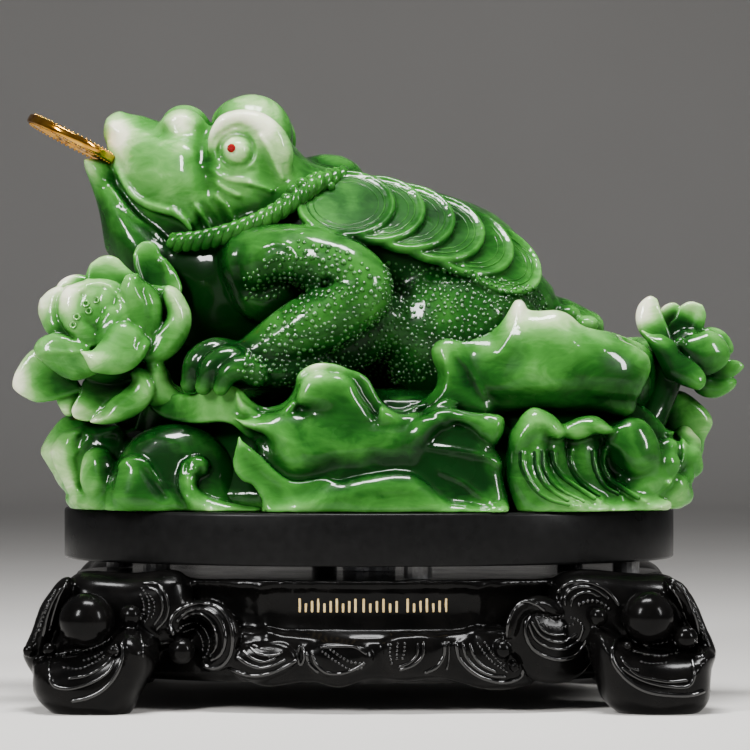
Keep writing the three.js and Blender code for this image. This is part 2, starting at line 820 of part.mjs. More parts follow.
function mouthCoin() {
  const field = coinBlank(COIN_RADIUS - COIN_RIM, COIN_RELIEF * 2, COIN_SIDES);
  const recess = (level) => field.translate([0, 0, level * (COIN_THICKNESS / 2)]);
  const frame = squareHole(COIN_HOLE + 2 * COIN_RIM * 0.7, COIN_THICKNESS);
  const blank = coinBlank(COIN_RADIUS, COIN_THICKNESS, COIN_SIDES).subtract(recess(1)).subtract(recess(-1));
  const body = blank.add(frame).subtract(squareHole(COIN_HOLE, COIN_THICKNESS * 2));
  return outerSkin(placed(body, COIN_CENTRE, COIN_FACING));
}

// The disc, the swivel and the stand

function turningDisc() {
  const radius = DISC_LENGTH / 2;
  return oval(
    [
      [0, DISC_BOTTOM],
      [radius - DISC_EDGE, DISC_BOTTOM],
      [radius, DISC_BOTTOM + DISC_EDGE],
      [radius, DISC_TOP - DISC_EDGE],
      [radius - DISC_EDGE, DISC_TOP],
      [0, DISC_TOP],
    ],
    DISC_RATIO,
    60,
  );
}

function disk(radius, bottom, top, sides, centre = [0, 0]) {
  return oval([[0, bottom], [radius, bottom], [radius, top], [0, top]], 1, sides, centre);
}

// Scrolls and crescents on the stand lie flat against its side, so they are squeezed front to back.
function crescent(x, z, y, reach, from, turns, thick, direction = 1) {
  const stations = Array.from({ length: 9 }, (_, k) => {
    const t = k / 8;
    const angle = THREE.MathUtils.degToRad(from + direction * 360 * turns * t);
    const radius = thick * (0.55 + 0.45 * Math.sin(Math.PI * t));
    return [x + reach * Math.cos(angle), y, z + reach * Math.sin(angle), radius, radius * 1.3];
  });
  return limb(stations, { sides: 7, steps: 9 });
}

function standCorner(sideX, sideY) {
  const x = FOOT_X * sideX;
  const y = FOOT_Y * sideY;
  const foot = oval(
    [
      [0, 0],
      [FOOT_RADIUS * 0.58, 0],
      [FOOT_RADIUS * 0.82, 4],
      [FOOT_RADIUS, FOOT_HEIGHT * 0.35],
      [FOOT_RADIUS, FOOT_HEIGHT * 0.6],
      [FOOT_RADIUS * 0.7, FOOT_HEIGHT * 0.9],
      [0, FOOT_HEIGHT],
    ],
    0.94,
    18,
    [x, y],
  );
  const arm = limb(
    [
      [x * 0.55, y * 0.5, 34, 18, 28],
      [x * 0.82, y * 0.78, 36, 20, 30],
      [x, y, 34, 16, 25],
    ],
    { sides: 10, steps: 4, across: [sideX, -sideY * 1.4, 0] },
  );
  const sideScroll = limb(
    [
      [x + 27 * sideX, y + 3 * sideY, 20, 9],
      [x + 31 * sideX, y - 6 * sideY, 33, 9],
      [x + 26 * sideX, y - 14 * sideY, 46, 8],
      [x + 17 * sideX, y - 18 * sideY, 55, 5],
    ],
    { sides: 8, steps: 6 },
  );
  return [
    foot,
    arm,
    sideScroll,
    ball([x - 2 * sideX, y - 3 * sideY, 35], [30, 26, 23], [0, 0, 0], 12),
    ball([x + 3 * sideX, y + 13 * sideY, 43], [14, 11, 14], [0, 0, 0], 12),
    crescent(x + 1 * sideX, 32, y + 20 * sideY, 19, sideX > 0 ? 200 : 190, 0.42, 5),
    crescent(x - 27 * sideX, 47, y + 8 * sideY, 9.5, 90 + 30 * sideX, -0.75 * sideX, 4.6),
    crescent(x - 53 * sideX, 35, y + 9 * sideY, 12.5, 90 + 60 * sideX, -0.8 * sideX, 5),
    ball([x - 50 * sideX, y + 8 * sideY, 31], [8, 8, 7], [0, 0, 0], 8),
  ];
}

// Shallow scrolls run along the apron between the corners, front and back.
function apronScrolls(sideY) {
  return [-2, -1, 0, 1, 2].map((k) =>
    crescent(25 * k + 4, 27, (98 - 0.8 * k * k) * sideY, 9, 180 + 20 * k, 0.5, 4),
  );
}

function standBody() {
  const top = STAND_LENGTH / 2;
  const waist = top - 8;
  const apron = top + 3;
  const body = oval(
    [
      [0, STAND_UNDERSIDE],
      [apron - 14, STAND_UNDERSIDE],
      [apron - 2, STAND_UNDERSIDE + 4],
      [apron, STAND_UNDERSIDE + 12],
      [apron - 2, STAND_UNDERSIDE + 21],
      [waist, STAND_UNDERSIDE + 26],
      [waist, STAND_HEIGHT - 7],
      [top, STAND_HEIGHT - 4],
      [top, STAND_HEIGHT],
      [0, STAND_HEIGHT],
    ],
    STAND_RATIO,
    48,
  );
  const corners = [-1, 1].flatMap((sideX) => [-1, 1].flatMap((sideY) => standCorner(sideX, sideY)));
  const whole = union([body, ...corners, ...apronScrolls(-1), ...apronScrolls(1)]);
  return thinned(outerSkin(whole), STAND_TRIANGLES);
}

function named(name, skin, material) {
  const mesh = new THREE.Mesh(geometryOf(skin), material);
  mesh.name = name;
  return mesh;
}

const figure = new THREE.Group();
figure.position.x = AXIS_X;
figure.add(named("jade_toad_casting", jadeCasting(), JADE));
figure.add(named("mouth_coin", mouthCoin(), GOLD));
for (const { name, centre, facing } of GEMS) {
  figure.add(named(name, outerSkin(placed(gemShape(0), centre, facing)), RED));
}
figure.add(named("turning_disc", outerSkin(turningDisc()), BLACK));
figure.add(named("carved_stand", standBody(), BLACK));

const swivelSplit = STAND_HEIGHT + TOUCH_GAP + SWIVEL_LOWER_HEIGHT;
const lowerPlate = disk(SWIVEL_RADIUS, STAND_HEIGHT + TOUCH_GAP, swivelSplit, 24);
const upperPlate = disk(SWIVEL_RADIUS, swivelSplit + TURN_CLEARANCE, DISC_BOTTOM - TOUCH_GAP, 24);
figure.add(named("swivel_lower_plate", outerSkin(lowerPlate), STEEL));
figure.add(named("swivel_upper_plate", outerSkin(upperPlate), STEEL));

for (let k = 0; k < PAD_COUNT; k++) {
  const angle = THREE.MathUtils.degToRad(PAD_FIRST_ANGLE + (360 * k) / PAD_COUNT);
  const ringX = DISC_LENGTH / 2 - PAD_INSET;
  const ringY = (DISC_LENGTH * DISC_RATIO) / 2 - PAD_INSET;
  const centre = [ringX * Math.sin(angle), -ringY * Math.cos(angle)];
  const pad = disk(PAD_RADIUS, STAND_HEIGHT + TOUCH_GAP, DISC_BOTTOM - TURN_CLEARANCE, 16, centre);
  figure.add(named(`glide_pad_${k + 1}`, outerSkin(pad), RUBBER));
}

export default figure;
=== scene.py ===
"""A money toad figure in translucent green resin, on a turning black disc and a carved black stand."""
import math

import bpy
import numpy as np
import openvdb
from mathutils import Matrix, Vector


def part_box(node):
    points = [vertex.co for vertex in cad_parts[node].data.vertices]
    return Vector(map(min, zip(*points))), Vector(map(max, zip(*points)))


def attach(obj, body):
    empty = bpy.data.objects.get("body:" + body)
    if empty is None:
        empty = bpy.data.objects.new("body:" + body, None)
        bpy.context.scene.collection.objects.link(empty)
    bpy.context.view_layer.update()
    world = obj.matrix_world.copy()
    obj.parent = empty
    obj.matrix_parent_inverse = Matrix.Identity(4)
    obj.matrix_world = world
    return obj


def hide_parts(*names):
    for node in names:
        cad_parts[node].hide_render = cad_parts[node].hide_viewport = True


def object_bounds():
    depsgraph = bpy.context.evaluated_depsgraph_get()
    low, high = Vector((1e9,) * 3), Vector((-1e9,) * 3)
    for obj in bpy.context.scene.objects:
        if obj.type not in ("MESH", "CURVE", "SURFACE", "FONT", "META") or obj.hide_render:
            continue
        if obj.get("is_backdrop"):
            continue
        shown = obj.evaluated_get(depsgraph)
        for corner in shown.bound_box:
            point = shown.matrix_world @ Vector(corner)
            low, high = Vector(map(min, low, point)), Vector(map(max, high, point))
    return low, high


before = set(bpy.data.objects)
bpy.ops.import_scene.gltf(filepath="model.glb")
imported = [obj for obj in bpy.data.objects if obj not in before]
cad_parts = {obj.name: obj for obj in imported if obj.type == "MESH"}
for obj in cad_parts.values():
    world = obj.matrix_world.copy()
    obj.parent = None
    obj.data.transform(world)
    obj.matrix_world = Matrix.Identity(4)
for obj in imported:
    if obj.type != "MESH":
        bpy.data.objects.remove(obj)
CAD_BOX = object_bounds()

MM = 0.001
SIDES = (-1, 1)
RNG = np.random.default_rng(7)

# Heights and centres, in millimetres, taken from the frame
DISC_LOW, DISC_HIGH = (np.array(corner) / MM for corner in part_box("turning_disc"))
AXIS_X = (DISC_LOW[0] + DISC_HIGH[0]) / 2
CASTING_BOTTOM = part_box("jade_toad_casting")[0][2] / MM

# Camera, in metres, and its lens and sensor in millimetres
CAMERA_DISTANCE = 1.85
CAMERA_HEIGHT = 0.1572
CAMERA_X = -0.00206
NEAR_CLIP = 0.05
LENS = 181.2
SENSOR_WIDTH = 36

# The photograph's pixels: millimetres to a pixel on the disc's axis, and the axis and eye level there
PIXEL_MM = 0.49
AXIS_COLUMN = 369
EYE_ROW = 375


def place_camera():
    data = bpy.data.cameras.new("photo_camera")
    data.lens = LENS
    data.sensor_width = SENSOR_WIDTH
    data.clip_start = NEAR_CLIP
    camera = bpy.data.objects.new("photo_camera", data)
    camera.location = (CAMERA_X, -CAMERA_DISTANCE, CAMERA_HEIGHT)
    camera.rotation_euler = (math.pi / 2, 0, 0)
    bpy.context.collection.objects.link(camera)
    bpy.context.scene.camera = camera


def seen(column, row, depth):
    """The point `depth` mm behind the disc's axis that shows at a pixel of the photograph."""
    scale = PIXEL_MM * (1 + depth * MM / CAMERA_DISTANCE)
    return [scale * (column - AXIS_COLUMN), depth, CAMERA_HEIGHT / MM + scale * (EYE_ROW - row)]


# In the tables of pixels, a station is [column, row, depth, radii], a form is a cushion with its
# outline, and a line is (pixels, height, width), with a depth where the lines of a table differ in it


def stations(rows):
    """Stations of [column, row, depth, radii] as millimetres, with the radii kept."""
    return [seen(*row[:3]) + list(row[3:]) for row in rows]


# Curves and closed skins. A skin is (points, quads, triangles)

TINY = 1e-9
NO_TRIANGLES = np.zeros((0, 3), int)


def unit(vectors):
    vectors = np.asarray(vectors, float)
    return vectors / np.maximum(np.linalg.norm(vectors, axis=-1, keepdims=True), TINY)


def angles(count, start=0.0):
    """Even steps round a circle, from a first one given as a share of a step."""
    return (np.arange(count) + start) * 2 * math.pi / count


def spline(rows, count, closed=False):
    """Points along a smooth curve through rows. Columns after the third are carried along."""
    least_gap, knot_power = 0.01, 0.7
    rows = np.asarray(rows, float)
    if closed:
        rows = np.concatenate([rows[-3:], rows, rows[:4]])
    gaps = np.linalg.norm(np.diff(rows[:, :3], axis=0), axis=1)
    knots = np.concatenate([[0], np.cumsum(np.maximum(gaps, least_gap) ** knot_power)])
    slopes = np.gradient(rows, knots, axis=0)
    first, last = (knots[3], knots[-4]) if closed else (0, knots[-1])
    at = np.linspace(first, last, count, endpoint=not closed)
    k = np.clip(np.searchsorted(knots, at, side="right") - 1, 0, len(knots) - 2)
    gap = (knots[k + 1] - knots[k])[:, None]
    u = (at - knots[k])[:, None] / gap
    start = (1 + 2 * u) * (1 - u) ** 2 * rows[k] + u * (1 - u) ** 2 * gap * slopes[k]
    end = u * u * (3 - 2 * u) * rows[k + 1] + u * u * (u - 1) * gap * slopes[k + 1]
    return start + end


def bands(count, sides, closed):
    """The quads between neighbouring rings of points, and from the last ring to the first if closed."""
    ring = np.arange(sides)
    step = np.roll(ring, -1)
    rows = np.arange(count)[:, None] * sides
    after = np.roll(rows, -1, axis=0)
    if not closed:
        rows, after = rows[:-1], after[:-1]
    return np.stack([rows + ring, rows + step, after + step, after + ring], -1).reshape(-1, 4)


def closed_loft(rings, poles):
    """A skin over rings of points with a pole at each end."""
    rings = np.asarray(rings, float)
    count, sides = rings.shape[:2]
    points = np.concatenate([rings.reshape(-1, 3), np.asarray(poles, float)])
    ring = np.arange(sides)
    step = np.roll(ring, -1)
    last = (count - 1) * sides
    first_pole = np.full(sides, count * sides)
    start_fan = np.stack([first_pole, step, ring], -1)
    end_fan = np.stack([first_pole + 1, last + ring, last + step], -1)
    return points, bands(count, sides, closed=False), np.concatenate([start_fan, end_fan])


def closed_tube(rings):
    """A skin over rings of points whose last ring joins the first."""
    rings = np.asarray(rings, float)
    return rings.reshape(-1, 3), bands(*rings.shape[:2], closed=True), NO_TRIANGLES


def turned(degrees):
    """A rotation matrix from turns about X, then Y, then Z."""
    cx, cy, cz = np.cos(np.radians(degrees))
    sx, sy, sz = np.sin(np.radians(degrees))
    about_x = np.array([[1, 0, 0], [0, cx, -sx], [0, sx, cx]])
    about_y = np.array([[cy, 0, sy], [0, 1, 0], [-sy, 0, cy]])
    about_z = np.array([[cz, -sz, 0], [sz, cz, 0], [0, 0, 1]])
    return about_z @ about_y @ about_x


def ball(centre, radii, turn=(0, 0, 0), sides=40):
    tilt = np.linspace(0, math.pi, sides // 2 + 1)[1:-1, None]
    around = angles(sides)[None]
    shell = [np.sin(tilt) * np.cos(around), np.sin(tilt) * np.sin(around), np.cos(tilt) + 0 * around]
    points, quads, triangles = closed_loft(np.stack(shell, -1), [[0, 0, 1], [0, 0, -1]])
    return (points * radii) @ turned(turn).T + np.asarray(centre, float), quads, triangles


LEAST_RADIUS = 0.05
CAP_ANGLES = np.radians([75, 50, 25])


def limb(rows, across=(0, 1, 0), sides=28, steps=None):
    """A rounded limb through stations of [x, y, z, radius, half width along `across`]."""
    rows = [list(s) + [s[3]] * (5 - len(s)) for s in rows]
    steps = steps or 10 * len(rows)
    path = spline(rows, steps)
    tangent = unit(np.gradient(path[:, :3], axis=0))
    across = np.asarray(across, float)
    side = unit(across - tangent * (tangent @ across)[:, None])
    up = np.cross(side, tangent)
    around = angles(sides, 0.5)[:, None]

    def ring(k, shrink, shift):
        radius, width = np.maximum(path[k, 3:5], LEAST_RADIUS)
        middle = path[k, :3] + tangent[k] * shift * radius
        return middle + shrink * (width * np.cos(around) * side[k] + radius * np.sin(around) * up[k])

    rings = [ring(0, math.cos(a), -math.sin(a)) for a in CAP_ANGLES]
    rings += [ring(k, 1, 0) for k in range(steps)]
    rings += [ring(steps - 1, math.cos(a), math.sin(a)) for a in CAP_ANGLES[::-1]]
    ends = [path[0, :3] - tangent[0] * path[0, 3], path[-1, :3] + tangent[-1] * path[-1, 3]]
    return closed_loft(rings, ends)


def thick_sheet(grid, thickness):
    """A closed sheet over a grid of points, half as thick along its edges."""
    grid = np.asarray(grid, float)
    rows, columns = grid.shape[:2]
    normal = unit(np.cross(np.gradient(grid, axis=1), np.gradient(grid, axis=0)))
    half = np.full((rows, columns), thickness / 2)
    for border in (half[0], half[-1], half[:, 0], half[:, -1]):
        border *= 0.5
    front = (grid + normal * half[..., None]).reshape(-1, 3)
    back = (grid - normal * half[..., None]).reshape(-1, 3)
    total = rows * columns
    index = np.arange(total).reshape(rows, columns)
    faces = np.stack([index[:-1, :-1], index[:-1, 1:], index[1:, 1:], index[1:, :-1]], -1).reshape(-1, 4)
    rim = np.concatenate([index[0, :-1], index[:-1, -1], index[-1, :0:-1], index[:0:-1, 0]])
    after = np.roll(rim, -1)
    edge_faces = np.stack([rim + total, after + total, after, rim], -1)
    quads = np.concatenate([faces, faces[:, ::-1] + total, edge_faces])
    return np.concatenate([front, back]), quads, NO_TRIANGLES


def leaf(rows, thickness, along=110, across=26):
    """A leaf through rows of points, from its inner line over its rim to its fold below."""
    lines = np.stack([spline(row, along) for row in rows])
    grid = np.stack([spline(lines[:, i], across) for i in range(along)], axis=1)
    return thick_sheet(grid, thickness)


def merged(skins):
    """Several skins as one."""
    points, quads, triangles, start = [], [], [], 0
    for skin_points, skin_quads, skin_triangles in skins:
        points.append(skin_points)
        quads.append(skin_quads + start)
        triangles.append(skin_triangles + start)
        start += len(skin_points)
    return np.concatenate(points), np.concatenate(quads), np.concatenate(triangles)


def mirrored(skin):
    """The skin's mirror image across the plane through the axis that faces the camera."""
    points, quads, triangles = skin
    return points * [1, -1, 1], quads[:, ::-1], triangles[:, ::-1]


def edges_of(quads, triangles):
    sides = [quads[:, [k, (k + 1) % 4]] for k in range(4)]
    sides += [triangles[:, [k, (k + 1) % 3]] for k in range(3)]
    return np.concatenate(sides)


RELAX_ROUNDS = 3
RELAX_FORWARD = 0.5
RELAX_BACK = -0.48


def relaxed(skin):
    """Points moved towards the middle of their neighbours, then back a little, so forms stay full."""
    points, quads, triangles = skin
    start, end = edges_of(quads, triangles).T
    count = np.maximum(np.bincount(start, minlength=len(points)), 1)[:, None]
    for weight in (RELAX_FORWARD, RELAX_BACK) * RELAX_ROUNDS:
        total = np.stack([np.bincount(start, points[end, a], len(points)) for a in range(3)], -1)
        points = points + weight * (total / count - points)
    return points, quads, triangles


def split(quads, triangles):
    """All faces as triangles."""
    return np.concatenate([triangles, quads[:, :3], quads[:, [0, 2, 3]]])


def crossed(corners):
    """Normals of triangles, as long as twice their areas."""
    return np.cross(corners[:, 1] - corners[:, 0], corners[:, 2] - corners[:, 0])


def normals_of(skin):
    points, quads, triangles = skin
    faces = split(quads, triangles)
    face_normals = crossed(points[faces])
    total = np.zeros_like(points)
    for k in range(3):
        for axis in range(3):
            total[:, axis] += np.bincount(faces[:, k], face_normals[:, axis], len(points))
    return unit(total)


def distance_to(x, z, path):
    """How far each place lies from a path of [x, z] points."""
    start, edge = path[:-1], np.diff(path, axis=0)
    from_start = np.stack([x, z], -1)[..., None, :] - start
    along = np.clip((from_start * edge).sum(-1) / np.maximum((edge**2).sum(-1), TINY), 0, 1)
    return np.linalg.norm(from_start - along[..., None] * edge, axis=-1).min(-1)


def inside_distance(x, z, outline):
    """How far inside a closed outline each place lies, negative outside."""
    path = np.concatenate([outline, outline[:1]])
    gap = distance_to(x, z, path)
    edge = np.diff(path, axis=0)
    rise = np.where(edge[:, 1] == 0, TINY, edge[:, 1])
    across, up = x[..., None] - outline[:, 0], z[..., None] - outline[:, 1]
    above = up < 0
    crosses = (above != np.roll(above, -1, axis=-1)) & (across < up * edge[:, 0] / rise)
    return np.where(crosses.sum(-1) % 2 == 1, gap, -gap)


# Clay: signed distances on a grid, in millimetres. The band is in grid steps

BAND = 7
COARSER = 1.0
# A line reaches this many of its widths to each side. It ends this far behind its depth, and fades there
LINE_REACH = 2.5
LINE_END = 8
LINE_FADE = 6


def sampled(field, at):
    """Values of a field between its grid points."""
    at = np.clip(at, 0, np.array(field.shape) - 1.001)
    low = at.astype(int)
    part = at - low
    total = 0
    for corner in np.ndindex(2, 2, 2):
        weight = np.prod(np.where(corner, part, 1 - part), axis=1)
        total = total + weight * field[tuple((low + corner).T)]
    return total


def blurred(values, reach, rounds=2):
    """A field averaged over boxes of `reach` grid points each way."""
    for _ in range(rounds):
        for axis in range(3):
            total = np.cumsum(values, axis=axis, dtype=np.float32)
            last = values.shape[axis] - 1
            ahead = np.take(total, np.minimum(np.arange(last + 1) + reach, last), axis)
            behind = np.take(total, np.maximum(np.arange(last + 1) - reach - 1, 0), axis)
            values = (ahead - behind) / (2 * reach + 1)
    return values


class Clay:
    """A block of signed distances that solids are joined to and cut from, with soft seams.

    It is given by its low and high corners and the step of its grid."""

    def __init__(self, low, high, voxel):
        self.voxel = voxel * COARSER
        self.low = np.asarray(low, float)
        self.shape = np.ceil((np.asarray(high, float) - self.low) / self.voxel).astype(int) + 1
        self.far = BAND * self.voxel
        self.field = np.full(self.shape, self.far, np.float32)

    def stamp(self, skin):
        """The window of the block round a skin, and the skin's signed distances there."""
        points, quads, triangles = skin
        grid_points = (points - self.low) / self.voxel
        grid = openvdb.FloatGrid.createLevelSetFromPolygons(
            np.ascontiguousarray(grid_points, dtype=np.float32),
            triangles=np.ascontiguousarray(triangles, dtype=np.uint32),
            quads=np.ascontiguousarray(quads, dtype=np.uint32),
            halfWidth=float(BAND),
        )
        first = np.maximum(np.floor(grid_points.min(0)).astype(int) - BAND - 1, 0)
        last = np.minimum(np.ceil(grid_points.max(0)).astype(int) + BAND + 2, self.shape)
        values = np.empty(np.maximum(last - first, 0), np.float32)
        if values.size:
            grid.copyToArray(values, ijk=tuple(int(i) for i in first))
        window = tuple(slice(a, b) for a, b in zip(first, last))
        return window, values * self.voxel

    def join(self, window, values, seam):
        part = self.field[window]
        mix = np.maximum(seam - np.abs(part - values), 0) / seam
        self.field[window] = np.minimum(part, values) - mix * mix * seam / 4

    def remove(self, window, values, seam):
        part = self.field[window]
        mix = np.maximum(seam - np.abs(part + values), 0) / seam
        self.field[window] = np.maximum(part, -values) + mix * mix * seam / 4

    def add(self, skin, seam=2.0):
        self.join(*self.stamp(skin), seam)

    def add_balls(self, balls):
        """Adds balls from a table of their centres, radii and seams."""
        for centre, radii, seam in balls:
            self.add(ball(centre, radii), seam)

    def cut_below(self, height):
        level = self.low[2] + np.arange(self.shape[2]) * self.voxel
        self.field = np.maximum(self.field, (height - level).astype(np.float32))

    def window(self, low, high):
        """The part of the block between two corners, and the places of its points on each axis."""
        first = np.floor((np.asarray(low) - self.low) / self.voxel).astype(int)
        last = np.ceil((np.asarray(high) - self.low) / self.voxel).astype(int) + 1
        first = np.clip(first, 0, self.shape)
        last = np.clip(last, first, self.shape)
        places = [self.low[a] + np.arange(first[a], last[a]) * self.voxel for a in range(3)]
        return tuple(slice(a, b) for a, b in zip(first, last)), places

    def pillow_values(self, outline, depth, front, back, edge, lean=(0, 0), cup=0, sag=0, facing=1):
        """A cushion with a closed outline in pixels, at a depth behind the axis.

        It is `front` and `back` thick and rounds off over `edge` towards its outline. It leans back
        to the right and upwards, its middle is sunk by `cup`, and it curves back sideways by `sag`.
        With `facing` at -1 it is the mirror image on the far side."""
        outline = np.array([seen(column, row, depth) for column, row in outline])[:, [0, 2]]
        outline = spline(outline, 6 * len(outline), closed=True)
        centre = outline.mean(0)
        reach = outline - centre
        tilt = np.abs(reach * lean).max(0).sum() + sag * np.abs(reach[:, 0]).max() ** 2 + abs(cup)
        (left, bottom), (right, top) = outline.min(0), outline.max(0)
        low = [left - self.far, depth - front - tilt - self.far, bottom - self.far]
        high = [right + self.far, depth + back + tilt + self.far, top + self.far]
        if facing < 0:
            low[1], high[1] = -high[1], -low[1]
        window, (x, y, z) = self.window(low, high)
        across, up = np.meshgrid(x, z, indexing="ij")
        rise = 1 - np.minimum(inside_distance(across, up, outline) / edge, 1)
        middle = depth + lean[0] * (across - centre[0]) + lean[1] * (up - centre[1])
        middle += sag * (across - centre[0]) ** 2 + cup * (1 - np.minimum(rise, 1) ** 2)
        away = facing * y[None, :, None] - middle[:, None, :]
        rise = rise[:, None, :]
        size = np.where(away < 0, front, back)
        through = away / size
        reach = np.hypot(rise, through)
        steep = np.hypot(rise / edge, through / size) / np.maximum(reach, 1e-6)
        values = (reach - 1) / np.maximum(steep, 1 / max(edge, front, back))
        return window, np.clip(values, -self.far, self.far).astype(np.float32)

    def pillow(self, outline, depth, seam=1.0, both=False, **shape):
        for facing in (1, -1) if both else (1,):
            self.join(*self.pillow_values(outline, depth, facing=facing, **shape), seam)

    def pillows(self, forms, **shared):
        for form in forms:
            self.pillow(**shared, **form)

    def hollows(self, forms, seam=1.5):
        for form in forms:
            self.remove(*self.pillow_values(**form), seam)

    def emboss(self, rows, height, width, depth, both=False):
        """Raises a soft line along pixels, or sinks it, on what lies in front of a depth."""
        path = np.array([seen(column, row, depth) for column, row in rows])[:, [0, 2]]
        path = spline(path, 5 * len(path)) if len(path) > 2 else path
        reach = LINE_REACH * width
        low, high = path.min(0) - reach, path.max(0) + reach
        window, (x, y, z) = self.window([low[0], self.low[1], low[1]], [high[0], -self.low[1], high[1]])
        across, up = np.meshgrid(x, z, indexing="ij")
        rise = height * np.exp(-((distance_to(across, up, path) / width) ** 2))
        nearness = np.clip((depth + LINE_END - (-np.abs(y) if both else y)) / LINE_FADE, 0, 1)
        self.field[window] -= (rise[:, None, :] * nearness[None, :, None]).astype(np.float32)

    def emboss_all(self, lines, **shared):
        for line in lines:
            self.emboss(*line, **shared)

    def mirror(self):
        """Makes the back half the mirror image of the front half."""
        half = self.shape[1] // 2
        self.field[:, -half:] = self.field[:, :half][:, ::-1]

    def skin(self, adaptivity=0.012):
        grid = openvdb.FloatGrid()
        grid.background = self.far
        grid.copyFromArray(self.field)
        points, triangles, quads = grid.convertToPolygons(isovalue=0.0, adaptivity=adaptivity)
        faces = [np.array(quads, int).reshape(-1, 4), np.array(triangles, int).reshape(-1, 3)]
        points, quads, triangles = relaxed((np.array(points, float), *faces))
        return points * self.voxel + self.low, quads, triangles

    def nearest(self, places, axis):
        """The grid steps nearest to places along an axis."""
        steps = np.round((np.asarray(places) - self.low[axis]) / self.voxel).astype(int)
        return np.clip(steps, 0, self.shape[axis] - 1)

    def face_depth(self, x, z):
        """How far forward the clay reaches at each x and z. Places with no clay give nan."""
        lines = self.field[self.nearest(x, 0), :, self.nearest(z, 2)]
        first = np.argmax(lines < 0, axis=1)
        rows = np.arange(len(lines))
        inner, outer = lines[rows, first], lines[rows, np.maximum(first - 1, 0)]
        depth = self.low[1] + (first - inner / np.minimum(inner - outer, -1e-6)) * self.voxel
        return np.where((lines < 0).any(axis=1), depth, np.nan)

    def laid(self, rows, depth, radius, count=None, sink=0.0):
        """A path of pixels laid on the front of the clay, as stations of a limb."""
        rows = [[column, row, depth] for column, row in rows]
        path = spline(stations(rows), count or 6 * len(rows))
        front = self.face_depth(path[:, 0], path[:, 2])
        known = ~np.isnan(front)
        if known.any():
            front = np.interp(np.arange(len(path)), np.flatnonzero(known), front[known])
            path[:, 1] = np.convolve(np.pad(front, 1, "edge"), [0.25, 0.5, 0.25], "valid") + sink
        return np.column_stack([path, np.full(len(path), radius)])


# Objects


def add_object(name, skin, material, body, node, slot, values=None):
    """A mesh object from millimetres about the disc's axis, riding on a body and replacing a node."""
    points, quads, triangles = skin
    mesh = bpy.data.meshes.new(name)
    places = (np.asarray(points, float) + [AXIS_X, 0, 0]) * MM
    mesh.vertices.add(len(places))
    mesh.vertices.foreach_set("co", places.ravel())
    corners = np.concatenate([quads.ravel(), triangles.ravel()]).astype(np.int32)
    mesh.loops.add(len(corners))
    mesh.loops.foreach_set("vertex_index", corners)
    sizes = np.concatenate([np.full(len(quads), 4), np.full(len(triangles), 3)])
    mesh.polygons.add(len(sizes))
    mesh.polygons.foreach_set("loop_start", np.cumsum(sizes) - sizes)
    mesh.polygons.foreach_set("use_smooth", np.ones(len(sizes), bool))
    mesh.update(calc_edges=True)
    mesh.validate()
    for label, numbers in (values or {}).items():
        layer = mesh.attributes.new(label, "FLOAT", "POINT")
        layer.data.foreach_set("value", np.asarray(numbers, np.float32))
    mesh.materials.append(material)
    piece = bpy.data.objects.new(name, mesh)
    bpy.context.collection.objects.link(piece)
    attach(piece, body)
    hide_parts(node)


# The toad


def on_side(rows, side, lift=0):
    """Stations put on the near side of the toad, -1, or on its far side, 1, and raised."""
    return [[x, side * abs(y), z + lift, *radii] for x, y, z, *radii in rows]


# How much higher the far side of the head stands, in millimetres
HEAD_TILT = 11
EYE_CENTRE = (237.5, 152)
EYE_DEPTH = -34
EYE_BALL = [8.2, 9.8, 8.2]
EYE_SOCKET = [20.5, 18.5, 20]
NOSTRIL = [12, 9, 10.5]
# Lines round the eye: their radius in pixels, and how far they rise
EYE_RINGS = ((17.15, -0.9), (21, 0.6))
# Stations in millimetres: x, y, z, half height and half width
CROWN = (
    [-122, 0, 276, 8, 9], [-113, 0, 267, 16, 18], [-103, 0, 259, 22.5, 26], [-92, 0, 254, 27, 31.5],
    [-78, 0, 250, 30, 35], [-62, 0, 250, 31, 37], [-45, 0, 240, 27, 34],
)
SNOUT = ([-104, 0, 272, 9, 12], [-117, 0, 278, 7.5, 9], [-122, 0, 281.5, 4.5, 6])
JAW = (
    [-136, 0, 259, 3.4, 7], [-126, 0, 244, 8, 17], [-116, 0, 226, 13.5, 26], [-102, 0, 211, 19, 31],
    [-84, 0, 208, 26, 33],
)
# Stations in pixels: column, row, depth, and the half height and half width in millimetres
BROW = (
    [209, 150, -30, 2.5, 3], [212, 134, -31, 3, 4], [223, 122, -31, 3.4, 5], [240, 117.5, -31, 4, 5.5],
    [256, 122, -31.5, 5.5, 6], [269, 136, -31.5, 7.5, 6], [277, 153, -30, 8, 6], [280, 170, -28, 6, 5],
    [284, 186, -26, 3, 3.5],
)
HEAD_FORMS = (
    # the lower jaw, and the side of the snout down to the upper lip
    dict(depth=-12.5, front=4.5, back=14, edge=6, lean=(-0.6, 0), sag=0.008, seam=2, outline=[
        [84, 159], [86, 172], [92, 184], [97, 195], [100, 208], [102, 228], [106, 250], [120, 262],
        [150, 268], [185, 264], [198, 250], [204, 232], [200, 214], [180, 204], [160, 194], [140, 180],
        [124, 166], [110, 160], [96, 158]]),
    dict(depth=-19, front=4.5, back=14, edge=8, lean=(-0.62, 0), sag=0.008, seam=6, outline=[
        [109, 122], [110, 136], [112, 151], [118, 168], [127, 184], [137, 198], [149, 206], [164, 211],
        [177, 215], [187, 220], [193, 224], [198, 214], [200, 196], [199, 176], [196, 158], [186, 147],
        [168, 143], [148, 136], [126, 126]]),
)
UPPER_LIP = (
    [111, 122, -3, 2], [111.5, 134, -4, 2], [113, 150, -6, 2], [118, 167, -10, 2], [126, 183, -14.5, 2],
    [136, 197, -18.5, 2], [148, 205, -22, 2], [163, 210, -26, 2], [176, 214, -29, 1.9],
    [185, 221, -31, 1.6], [191, 230, -32, 1.2],
)


